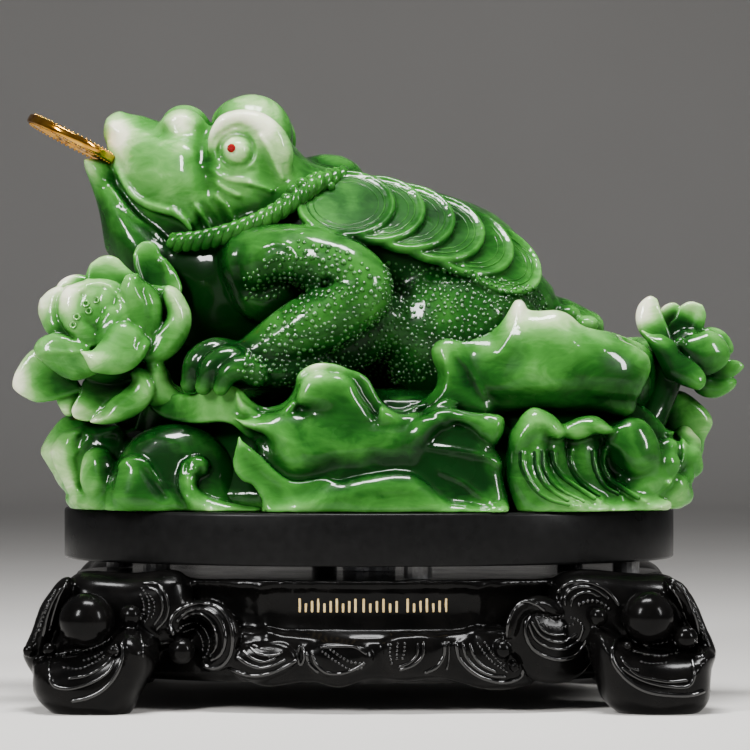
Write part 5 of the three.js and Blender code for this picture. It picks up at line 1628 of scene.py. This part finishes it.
COIN_CENTRE = [-144.6, 0, 271.9]
COIN_FACING = [0.456, 0.04, 0.889]
COIN_RADIUS = 25
COIN_HALF = 2.1
COIN_HOLE = 5.5
COIN_STUDS = 60
COIN_STUD_RADIUS = 0.75
COIN_BARS = 24
# Where the bars start and end from the coin's centre, in millimetres
COIN_LONG_BAR = (10, 18.5)
COIN_SHORT_BAR = (12, 16)


def coin_skin():
    """A holed coin with raised rims, and a ring of studs and a pattern of plain bars on both faces."""
    field = COIN_HALF - 0.8
    profile = [
        [COIN_HOLE, 0], [COIN_HOLE, COIN_HALF - 0.4], [COIN_HOLE + 0.4, COIN_HALF],
        [COIN_HOLE + 1.8, COIN_HALF], [COIN_HOLE + 2.4, field], [COIN_RADIUS - 4.2, field],
        [COIN_RADIUS - 3.6, COIN_HALF], [COIN_RADIUS - 0.6, COIN_HALF], [COIN_RADIUS, COIN_HALF - 0.6],
    ]
    profile += [[radius, -height] for radius, height in profile[::-1]]
    spoke, facing = spokes(COIN_FACING, 96)
    skins = [closed_tube([COIN_CENTRE + spoke * radius + facing * height for radius, height in profile])]
    for side in SIDES:
        for place in spokes(COIN_FACING, COIN_STUDS)[0]:
            at = COIN_CENTRE + place * (COIN_RADIUS - 2.1) + facing * side * COIN_HALF
            skins.append(ball(at, [COIN_STUD_RADIUS] * 3, sides=8))
        for k, place in enumerate(spokes(COIN_FACING, COIN_BARS)[0]):
            face = COIN_CENTRE + facing * side * (COIN_HALF - 0.7)
            rows = [[*(face + place * reach), 0.7] for reach in (COIN_LONG_BAR if k % 3 else COIN_SHORT_BAR)]
            skins.append(limb(rows, across=facing, sides=8, steps=4))
    return merged(skins)


# Colour of the jade: painted light where it is thin, painted shade where it lies enclosed, and listed spots
# of paler resin, painted highlights and painted shade

# The block in which this is measured: corners, grid step, and how far it is blurred in steps
SHADE_CORNERS = ([-184, -106, 88], [194, 106, 306])
SHADE_VOXEL = 2.2
NEAR_BLUR = 2
WIDE_BLUR = 6
# The share of solid about a plain surface, and how far from it thinness and hollows are read, in steps
FLAT_SHARE = 0.55
THIN_REACH = 0.5
HOLLOW_REACH = 5
# The depth behind the axis at which the places show at their pixels
PLACE_DEPTH = -55
# Fine relief has no thin edges of its own: how much paler it is, and the most painted shade of enclosure
# that it gets
RELIEF = {"toad_warts": (0.05, 0.3), "toad_ropes": (0.12, 0.16), "toad_coin_rings": (0.05, 0.25)}

# Spots of paler resin, some of them painted highlights, and spots of painted shade: column, row, reach in
# millimetres, strength
PALE_AND_HIGHLIGHT_PLACES = {
    "toad": (
        [150, 160, 28, 0.3], [385, 362, 20, 0.3], [375, 210, 40, 0.12], [120, 134, 10, 0.45],
        [178, 121, 13, 0.35], [241, 156, 12, 0.6], [238, 188, 16, 0.4], [111, 119, 6, 1.0],
        [110, 136, 5, 0.9], [112, 152, 5, 0.7], [140, 160, 20, 0.3], [158, 200, 20, 0.4],
        [230, 185, 16, 0.25], [178, 122, 8, 0.9], [262, 128, 8, 0.3], [276, 148, 7, 0.4],
        [284, 170, 6, 0.5], [226, 124, 8, 0.7], [300, 210, 14, 0.35], [320, 262, 20, 0.2],
        [120, 200, 10, 0.25], [260, 225, 16, 0.2], [330, 215, 18, 0.15], [120, 122, 7, 0.25],
        [118, 166, 5, 0.6], [128, 188, 5, 0.45], [330, 268, 22, 0.12], [192, 226, 10, 0.4],
        [212, 216, 11, 0.35], [238, 204, 12, 0.2], [330, 320, 24, 0.15], [400, 320, 20, 0.12],
        [142, 206, 5, 0.35], [178, 116, 7, 0.35], [222, 126, 9, 0.55], [246, 118, 9, 0.5],
        [266, 130, 8, 0.6], [278, 152, 8, 0.5], [248, 96, 13, 0.8], [270, 108, 9, 0.45],
        [286, 178, 6, 0.35], [212, 140, 8, 0.4], [84, 164, 6, 0.3], [92, 186, 8, 0.25],
        [320, 160, 10, 0.2], [346, 200, 12, 0.14], [290, 176, 8, 0.25],
    ),
    "front_leaves": (
        [205, 402, 20, 0.25], [320, 435, 30, 0.18], [318, 365, 5, 0.4], [200, 402, 18, 0.5],
        [320, 395, 16, 0.25], [240, 405, 10, 0.4], [318, 368, 9, 0.9], [338, 370, 7, 0.5],
        [300, 376, 6, 0.4], [236, 424, 6, 0.3], [350, 500, 26, 0.2], [420, 496, 18, 0.2],
        [290, 504, 14, 0.22], [230, 396, 10, 0.2], [265, 440, 12, 0.15],
    ),
    "bowl_leaf": (
        [500, 362, 14, 0.35], [590, 350, 16, 0.15], [450, 380, 10, 0.3], [440, 348, 8, 0.7],
        [462, 338, 7, 0.6], [486, 338, 7, 0.7], [508, 322, 8, 0.8], [518, 304, 6, 0.9],
        [534, 318, 9, 0.75], [556, 316, 9, 0.7], [574, 324, 8, 0.5], [560, 406, 30, 0.3],
        [600, 336, 7, 0.4], [640, 350, 6, 0.5], [560, 345, 16, 0.3], [630, 416, 5, 0.5],
        [550, 388, 14, 0.25], [600, 392, 12, 0.2],
    ),
    "left_waves": (
        [70, 462, 14, 0.35], [52, 462, 16, 0.55], [66, 490, 12, 0.5], [44, 450, 8, 0.4],
        [96, 492, 9, 0.3], [132, 470, 7, 0.2], [228, 506, 16, 0.25], [186, 480, 6, 0.2],
    ),
    "right_waves": (
        [565, 460, 22, 0.7], [660, 500, 12, 0.45], [684, 500, 9, 0.45], [650, 484, 7, 0.15],
        [704, 424, 9, 0.6], [694, 440, 7, 0.4], [690, 408, 13, 0.4], [560, 506, 14, 0.05],
        [620, 508, 14, 0], [694, 462, 6, 0.3],
    ),
    "left_bloom": (
        [90, 320, 40, 0.35], [110, 330, 16, 0.2], [170, 400, 20, 0.4], [106, 260, 8, 0.5],
        [124, 270, 7, 0.4], [66, 279, 7, 0.8], [42, 306, 8, 0.7], [56, 292, 8, 0.5], [70, 300, 9, 0.35],
        [22, 372, 10, 0.6], [16, 388, 8, 0.55], [44, 344, 7, 0.3], [92, 358, 7, 0.3],
        [162, 378, 11, 0.45], [182, 402, 12, 0.3], [172, 300, 9, 0.6], [184, 316, 7, 0.3],
        [176, 288, 6, 0.4], [86, 414, 8, 0.6], [66, 408, 7, 0.7], [108, 294, 9, 0.35],
        [60, 372, 10, 0.2], [84, 334, 7, 0.3],
    ),
    "right_bloom": (
        [646, 304, 8, 1.1], [640, 320, 6, 0.8], [656, 318, 5, 0.6], [696, 305, 6, 0.9],
        [672, 305, 5, 0.7], [706, 316, 4, 0.6], [722, 332, 5, 0.4], [712, 352, 8, 0.3],
        [736, 370, 6, 0.25], [702, 384, 5, 0.2], [716, 394, 8, 0.2],
    ),
}
# Spots of painted shade: hollows, creases and undersides coloured darker
PAINTED_SHADE_PLACES = {
    "left_bloom": (
        [52, 384, 8, 0.5], [66, 388, 7, 0.5], [146, 270, 9, 0.35], [100, 330, 8, 0.4],
        [140, 352, 9, 0.3],
    ),
    "right_bloom": (
        [688, 320, 7, 0.4], [664, 400, 12, 0.5], [650, 425, 12, 0.5], [678, 362, 13, 0.35],
        [716, 388, 9, 0.2], [706, 354, 15, 0.35],
    ),
    "bowl_leaf": (
        [580, 360, 24, 0.2], [500, 380, 12, 0.1], [470, 362, 8, 0.2], [512, 345, 7, 0.15],
        [480, 366, 12, 0.15], [520, 384, 12, 0.1], [556, 384, 12, 0.1], [592, 382, 15, 0.35],
        [622, 384, 12, 0.3], [470, 380, 10, 0.2],
    ),
    "toad": (
        [312, 256, 32, 0.36], [130, 240, 18, 0.3], [104, 212, 14, 0.5], [370, 205, 16, 0.3],
        [440, 235, 22, 0.25], [200, 290, 26, 0.7], [400, 370, 30, 0.3], [215, 366, 20, 0.7],
        [350, 345, 20, 0.3], [180, 256, 16, 0.5], [206, 160, 5, 0.5],
    ),
    "front_leaves": (
        [320, 390, 12, 0.55], [345, 492, 28, 0.3], [465, 465, 20, 0.4], [350, 410, 22, 0.3],
        [430, 470, 24, 0.4], [440, 435, 14, 0.3], [250, 460, 12, 0.3], [200, 430, 20, 0.4],
    ),
    "left_waves": (
        [100, 440, 10, 0.4], [150, 440, 22, 0.4], [150, 485, 12, 0.3], [225, 470, 14, 0.4],
    ),
    "right_waves": (
        [540, 470, 16, 0.35], [590, 430, 20, 0.2], [620, 455, 14, 0.3], [650, 440, 12, 0.2],
    ),
}


def spots(points, places):
    """How strongly soft round spots, in pixels, cover each point."""
    total = np.zeros(len(points))
    for column, row, reach, strength in places:
        middle = np.array(seen(column, row, PLACE_DEPTH))[[0, 2]]
        gap = np.linalg.norm(points[:, [0, 2]] - middle, axis=1)
        total += strength * np.exp(-((gap / reach) ** 2))
    return total


def jade_values(skins):
    """For each skin, how thin the resin is, for painted light at thin edges; how enclosed each point is, for
    painted shade; and its spots of paler resin and painted highlights, less its spots of painted shade.
    """
    block = Clay(*SHADE_CORNERS, SHADE_VOXEL / COARSER)
    for skin in skins.values():
        block.add(skin, 0.01)
    solid = np.clip(0.5 - block.field / block.voxel, 0, 1)
    near = blurred(solid, NEAR_BLUR)
    wide = blurred(solid, WIDE_BLUR)
    values = {}
    for name, skin in skins.items():
        at = (skin[0] - block.low) / block.voxel
        out = normals_of(skin)
        # Painted light: the thinner the resin about a point, the paler it is coloured
        thin = FLAT_SHARE - sampled(near, at - out * THIN_REACH)
        # Painted shade: the more resin encloses a point, the darker it is coloured, partly for the resin's
        # darker green in thick parts
        hollow = sampled(wide, at + out * HOLLOW_REACH)
        # Spots of paler resin and painted highlights, less spots of painted shade
        pale = spots(skin[0], PALE_AND_HIGHLIGHT_PLACES.get(name, ())) - spots(skin[0], PAINTED_SHADE_PLACES.get(name, ()))
        if name in RELIEF:
            lift, most = RELIEF[name]
            thin, hollow, pale = 0 * thin, np.minimum(hollow, most), pale + lift
        values[name] = {"thin": thin, "hollow": hollow, "pale": pale}
    return values


# Materials


def nodes_of(name):
    material = bpy.data.materials.new(name)
    material.use_nodes = True
    tree = material.node_tree
    return material, tree, tree.nodes["Principled BSDF"]


def attribute(tree, name):
    node = tree.nodes.new("ShaderNodeAttribute")
    node.attribute_name = name
    return node.outputs["Fac"]


def ramp(tree, value, stops):
    """A colour ramp over a value, from [position, colour] pairs."""
    node = tree.nodes.new("ShaderNodeValToRGB")
    elements = node.color_ramp.elements
    while len(elements) < len(stops):
        elements.new(0.5)
    for element, (position, colour) in zip(elements, stops):
        element.position = position
        element.color = (*colour, 1)
    tree.links.new(value, node.inputs["Fac"])
    return node.outputs["Color"]


def math_node(tree, operation, *values, clamp=False):
    node = tree.nodes.new("ShaderNodeMath")
    node.operation = operation
    node.use_clamp = clamp
    for socket, value in zip(node.inputs, values):
        if isinstance(value, bpy.types.NodeSocket):
            tree.links.new(value, socket)
        else:
            socket.default_value = value
    return node.outputs[0]


NUMBER, COLOUR, VECTOR = "NodeSocketFloat", "NodeSocketColor", "NodeSocketVector"


def new_group(name, inputs, output, kind):
    """An empty shader group with named inputs, given with their first values, and one named output."""
    group = bpy.data.node_groups.new(name, "ShaderNodeTree")
    for label, value in inputs.items():
        socket_type = COLOUR if isinstance(value, tuple) else NUMBER
        group.interface.new_socket(label, in_out="INPUT", socket_type=socket_type).default_value = value
    group.interface.new_socket(output, in_out="OUTPUT", socket_type=kind)
    given = group.nodes.new("NodeGroupInput").outputs
    return group, given, group.nodes.new("NodeGroupOutput").inputs[0]


def placed(tree, name, **inputs):
    """A group placed in a tree with its own values, and what it puts out."""
    node = tree.nodes.new("ShaderNodeGroup")
    node.node_tree = bpy.data.node_groups[name]
    for label, value in inputs.items():
        if isinstance(value, bpy.types.NodeSocket):
            tree.links.new(value, node.inputs[label])
        else:
            node.inputs[label].default_value = value
    return node.outputs[0]


def build_mottle():
    """Clouds about zero, stretched along the height."""
    inputs = {"Scale": 60.0, "Detail": 3.0, "Distortion": 0.0, "Rise": 1.0}
    tree, given, result = new_group("mottle", inputs, "Value", NUMBER)
    place = tree.nodes.new("ShaderNodeTexCoord")
    stretch = tree.nodes.new("ShaderNodeCombineXYZ")
    stretch.inputs["X"].default_value = stretch.inputs["Y"].default_value = 1
    mapping = tree.nodes.new("ShaderNodeMapping")
    noise = tree.nodes.new("ShaderNodeTexNoise")
    tree.links.new(given["Rise"], stretch.inputs["Z"])
    tree.links.new(place.outputs["Object"], mapping.inputs["Vector"])
    tree.links.new(stretch.outputs["Vector"], mapping.inputs["Scale"])
    tree.links.new(mapping.outputs["Vector"], noise.inputs["Vector"])
    for label in ("Scale", "Detail", "Distortion"):
        tree.links.new(given[label], noise.inputs[label])
    tree.links.new(math_node(tree, "SUBTRACT", noise.outputs["Fac"], 0.5), result)


def build_two_tones():
    """A colour that drifts between two over the surface."""
    inputs = {"Scale": 60.0, "Detail": 3.0, "Dark": (0.0, 0.0, 0.0, 1.0), "Light": (1.0, 1.0, 1.0, 1.0)}
    tree, given, result = new_group("two_tones", inputs, "Colour", COLOUR)
    clouds = placed(tree, "mottle", Scale=given["Scale"], Detail=given["Detail"])
    part = math_node(tree, "MULTIPLY_ADD", clouds, 2.2, 0.5)
    mix = tree.nodes.new("ShaderNodeMix")
    mix.data_type = "RGBA"
    tree.links.new(part, mix.inputs["Factor"])
    tree.links.new(given["Dark"], mix.inputs[6])
    tree.links.new(given["Light"], mix.inputs[7])
    tree.links.new(mix.outputs[2], result)


def build_uneven_gloss():
    """A roughness that drifts about a middle value."""
    inputs = {"Scale": 60.0, "Middle": 0.2, "Swing": 0.1}
    tree, given, result = new_group("uneven_gloss", inputs, "Roughness", NUMBER)
    clouds = placed(tree, "mottle", Scale=given["Scale"])
    tree.links.new(math_node(tree, "MULTIPLY_ADD", clouds, given["Swing"], given["Middle"]), result)


def build_fine_grain():
    """A shallow grain as a bump."""
    inputs = {"Scale": 400.0, "Strength": 0.05, "Depth": 0.0004}
    tree, given, result = new_group("fine_grain", inputs, "Normal", VECTOR)
    bump = tree.nodes.new("ShaderNodeBump")
    tree.links.new(placed(tree, "mottle", Scale=given["Scale"]), bump.inputs["Height"])
    tree.links.new(given["Strength"], bump.inputs["Strength"])
    tree.links.new(given["Depth"], bump.inputs["Distance"])
    tree.links.new(bump.outputs["Normal"], result)


def finish_with(tree, shader, colour=None, gloss=None, grain=None):
    """Feeds the shader's colour, roughness and normal from the shared groups."""
    for group, socket, values in (
        ("two_tones", "Base Color", colour),
        ("uneven_gloss", "Roughness", gloss),
        ("fine_grain", "Normal", grain),
    ):
        if values:
            tree.links.new(placed(tree, group, **values), shader.inputs[socket])


def drifting(scale, dark, light):
    return {"Scale": scale, "Dark": (*dark, 1.0), "Light": (*light, 1.0)}


def uneven(scale, middle, swing):
    return {"Scale": scale, "Middle": middle, "Swing": swing}


# Greens of the resin, from the darkest, under the most painted shade, to the palest, where it is thin and
# painted light is strongest
JADE_STOPS = (
    [0.0, (0.0015, 0.018, 0.002)],
    [0.2, (0.009, 0.065, 0.007)],
    [0.42, (0.035, 0.17, 0.022)],
    [0.62, (0.11, 0.32, 0.07)],
    [0.8, (0.34, 0.54, 0.22)],
    [1.0, (0.8, 0.82, 0.6)],
)
# What each mask and each layer of clouds adds to the place on that scale: painted light at thin edges,
# painted shade where enclosed, and the listed spots
JADE_MIDDLE = 0.38
JADE_SHARES = {"thin": 0.75, "hollow": -0.85, "pale": 0.42}
JADE_CLOUDS = (
    (dict(Scale=30.0, Detail=4.0, Distortion=1.4), 0.6),
    (dict(Scale=60.0, Distortion=2.5, Rise=2.2), 0.22),
)
JADE_SOCKETS = {
    "Subsurface Weight": 0.4,
    "Subsurface Radius": (0.5, 1.0, 0.35),
    "Subsurface Scale": 0.006,
    "Specular IOR Level": 0.06,
    "Coat Roughness": 0.02,
}


def jade_resin(name, wetness, coat_ior=1.5):
    """Green resin, paler with painted light where it is thin and darker with painted shade where it lies
    enclosed, and less glossy where it lies enclosed or looks down.
    """
    material, tree, shader = nodes_of(name)
    level = JADE_MIDDLE
    # The masks add painted light at thin edges and painted shade where the resin is enclosed
    for label, share in JADE_SHARES.items():
        level = math_node(tree, "MULTIPLY_ADD", attribute(tree, label), share, level)
    for clouds, share in JADE_CLOUDS:
        level = math_node(tree, "MULTIPLY_ADD", placed(tree, "mottle", **clouds), share, level)
    tree.links.new(ramp(tree, level, JADE_STOPS), shader.inputs["Base Color"])
    wet = math_node(tree, "MULTIPLY_ADD", attribute(tree, "hollow"), -1.25, wetness, clamp=True)
    normal = tree.nodes.new("ShaderNodeSeparateXYZ")
    tree.links.new(tree.nodes.new("ShaderNodeNewGeometry").outputs["Normal"], normal.inputs["Vector"])
    upward = math_node(tree, "MULTIPLY_ADD", normal.outputs["Z"], 2.0, 0.7, clamp=True)
    tree.links.new(math_node(tree, "MULTIPLY", wet, upward), shader.inputs["Coat Weight"])
    finish_with(tree, shader, gloss=uneven(50.0, 0.26, 0.12))
    for label, value in JADE_SOCKETS.items():
        shader.inputs[label].default_value = value
    shader.inputs["Coat IOR"].default_value = coat_ior
    return material


BLACKS = ((0.0012, 0.0012, 0.0012), (0.0035, 0.0032, 0.003))
FINISHES = {
    "black_satin": dict(
        colour=drifting(90.0, *BLACKS), gloss=uneven(45.0, 0.17, 0.12),
        grain={"Scale": 600.0, "Strength": 0.02}, specular=0.09),
    "black_polish": dict(colour=drifting(160.0, *BLACKS), gloss=uneven(90.0, 0.16, 0.08), specular=0.55),
    "black_lacquer": dict(
        colour=drifting(260.0, (0.0045, 0.0045, 0.0045), (0.007, 0.007, 0.007)),
        gloss=uneven(60.0, 0.3, 0.2), grain={"Scale": 420.0}, specular=0.08),
    "gilt_paint": dict(
        colour=drifting(300.0, (0.62, 0.42, 0.16), (0.8, 0.6, 0.28)), gloss=uneven(300.0, 0.4, 0.2)),
    "gold": dict(
        colour=drifting(180.0, (0.5, 0.2, 0.02), (0.8, 0.42, 0.06)), gloss=uneven(120.0, 0.14, 0.1),
        metallic=1),
    "red_stone": dict(
        colour=drifting(900.0, (0.1, 0.0005, 0.001), (0.28, 0.001, 0.003)), gloss=uneven(400.0, 0.08, 0.06),
        specular=0.12),
    "swivel_steel": dict(
        colour=drifting(400.0, (0.25, 0.25, 0.26), (0.4, 0.4, 0.41)), gloss=uneven(300.0, 0.3, 0.15),
        grain={"Scale": 900.0}, metallic=1),
    "glide_pad": dict(
        colour=drifting(400.0, (0.1, 0.1, 0.1), (0.2, 0.2, 0.2)), gloss=uneven(300.0, 0.35, 0.15),
        grain={"Scale": 900.0}, metallic=0.4),
    "pale_floor": dict(
        colour=drifting(3.0, (0.65, 0.63, 0.6), (0.68, 0.66, 0.63)), gloss=uneven(2.0, 0.75, 0.1)),
}


def plain_finish(name, colour, gloss, grain=None, specular=0.5, metallic=0.0):
    """A material whose colour and gloss drift a little over the surface."""
    material, tree, shader = nodes_of(name)
    finish_with(tree, shader, colour, gloss, grain)
    shader.inputs["Specular IOR Level"].default_value = specular
    shader.inputs["Metallic"].default_value = metallic
    return material


# Studio


# Place, aim, size and power of each lamp, in metres and watts, and the angle that it spreads to
LAMPS = {
    "key_left": ((-1.0, -1.3, 1.0), (0, 0, 0.18), (0.25, 0.6), 12),
    "fill_right": ((1.3, -0.9, 0.75), (0, 0, 0.15), (0.16, 0.7), 6.5),
    "top": ((0, -0.25, 1.3), (0, 0, 0.2), (0.6, 0.2), 9.5),
}
LAMP_SPREAD = math.radians(100)
SKY = (0.85, 0.86, 0.9, 1)
SKY_STRENGTH = 0.14
# The floor, which curves up into a wall behind the object, in metres
FLOOR_FRONT = -3.5
FLOOR_HALF_WIDTH = 4
BEND_START = 2.6
BEND_RADIUS = 0.8
WALL_TOP = 4


def area_light(name, place, aim, size, power):
    data = bpy.data.lights.new(name, "AREA")
    data.shape = "RECTANGLE"
    data.size, data.size_y = size
    data.energy = power
    data.spread = LAMP_SPREAD
    lamp = bpy.data.objects.new(name, data)
    lamp.location = place
    direction = np.asarray(aim, float) - np.asarray(place, float)
    yaw = math.atan2(direction[1], direction[0])
    pitch = math.atan2(direction[2], math.hypot(direction[0], direction[1]))
    lamp.rotation_euler = (math.pi / 2 + pitch, 0, yaw - math.pi / 2)
    bpy.context.collection.objects.link(lamp)


def studio(floor_material):
    profile = [(FLOOR_FRONT, 0)]
    for a in np.linspace(0, math.pi / 2, 12):
        profile.append((BEND_START + BEND_RADIUS * math.sin(a), BEND_RADIUS - BEND_RADIUS * math.cos(a)))
    profile.append((BEND_START + BEND_RADIUS, WALL_TOP))
    points = [(side * FLOOR_HALF_WIDTH, y, z) for y, z in profile for side in SIDES]
    faces = [(2 * k, 2 * k + 1, 2 * k + 3, 2 * k + 2) for k in range(len(profile) - 1)]
    mesh = bpy.data.meshes.new("floor")
    mesh.from_pydata(points, [], faces)
    for face in mesh.polygons:
        face.use_smooth = True
    floor = bpy.data.objects.new("floor", mesh)
    mesh.materials.append(floor_material)
    bpy.context.collection.objects.link(floor)
    floor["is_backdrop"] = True
    world = bpy.data.worlds.new("studio")
    world.use_nodes = True
    background = world.node_tree.nodes["Background"]
    background.inputs["Color"].default_value = SKY
    background.inputs["Strength"].default_value = SKY_STRENGTH
    bpy.context.scene.world = world
    for name, values in LAMPS.items():
        area_light(name, *values)


place_camera()
toad = toad_skin()
jade_skins = {
    "toad": toad,
    "toad_warts": warts_skin(toad),
    "toad_ropes": merged(list(rope_skins())),
    "toad_coin_rings": merged(list(back_coin_rings())),
    "front_leaves": front_leaves_skin(),
    "bowl_leaf": bowl_skin(),
    "left_waves": left_waves_skin(),
    "right_waves": right_waves_skin(),
    "back_leaves": back_skin(),
    "left_bloom": left_bloom_skin(),
    "right_bloom": right_bloom_skin(),
}
build_mottle()
build_two_tones()
build_uneven_gloss()
build_fine_grain()
jade = jade_resin("jade_resin", wetness=0.78)
wet_jade = jade_resin("wet_jade_resin", wetness=1.05, coat_ior=1.8)
for name, values in jade_values(jade_skins).items():
    material = wet_jade if name == "toad_warts" else jade
    add_object(name, jade_skins[name], material, "turntable", "jade_toad_casting", "jade_resin", values)

finishes = {name: plain_finish(name, **values) for name, values in FINISHES.items()}
stand = stand_clay()
for name, skin, finish, body, node, slot in (
    ("stand_body", stand.skin(adaptivity=0.02), "black_satin", "stand", "carved_stand", "black_stand"),
    ("stand_carving", stand_carving(stand), "black_polish", "stand", "carved_stand", "black_stand"),
    ("stand_strokes", stand_strokes(stand), "gilt_paint", "stand", "carved_stand", "gold_coin"),
    ("disc", disc_skin(), "black_lacquer", "turntable", "turning_disc", "black_disc"),
    ("coin", coin_skin(), "gold", "turntable", "mouth_coin", "gold_coin"),
):
    add_object(name, skin, finishes[finish], body, node, slot)
for start, finish in (
    ("near_eye_gem", "red_stone"),
    ("far_eye_gem", "red_stone"),
    ("swivel", "swivel_steel"),
    ("glide_pad", "glide_pad"),
):
    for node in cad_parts.values():
        if node.name.startswith(start):
            node.data.materials[0] = finishes[finish]
studio(finishes["pale_floor"])

boxes = {"cad": CAD_BOX, "visual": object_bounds()}
{name: [[float(v) for v in corner] for corner in box] for name, box in boxes.items()}
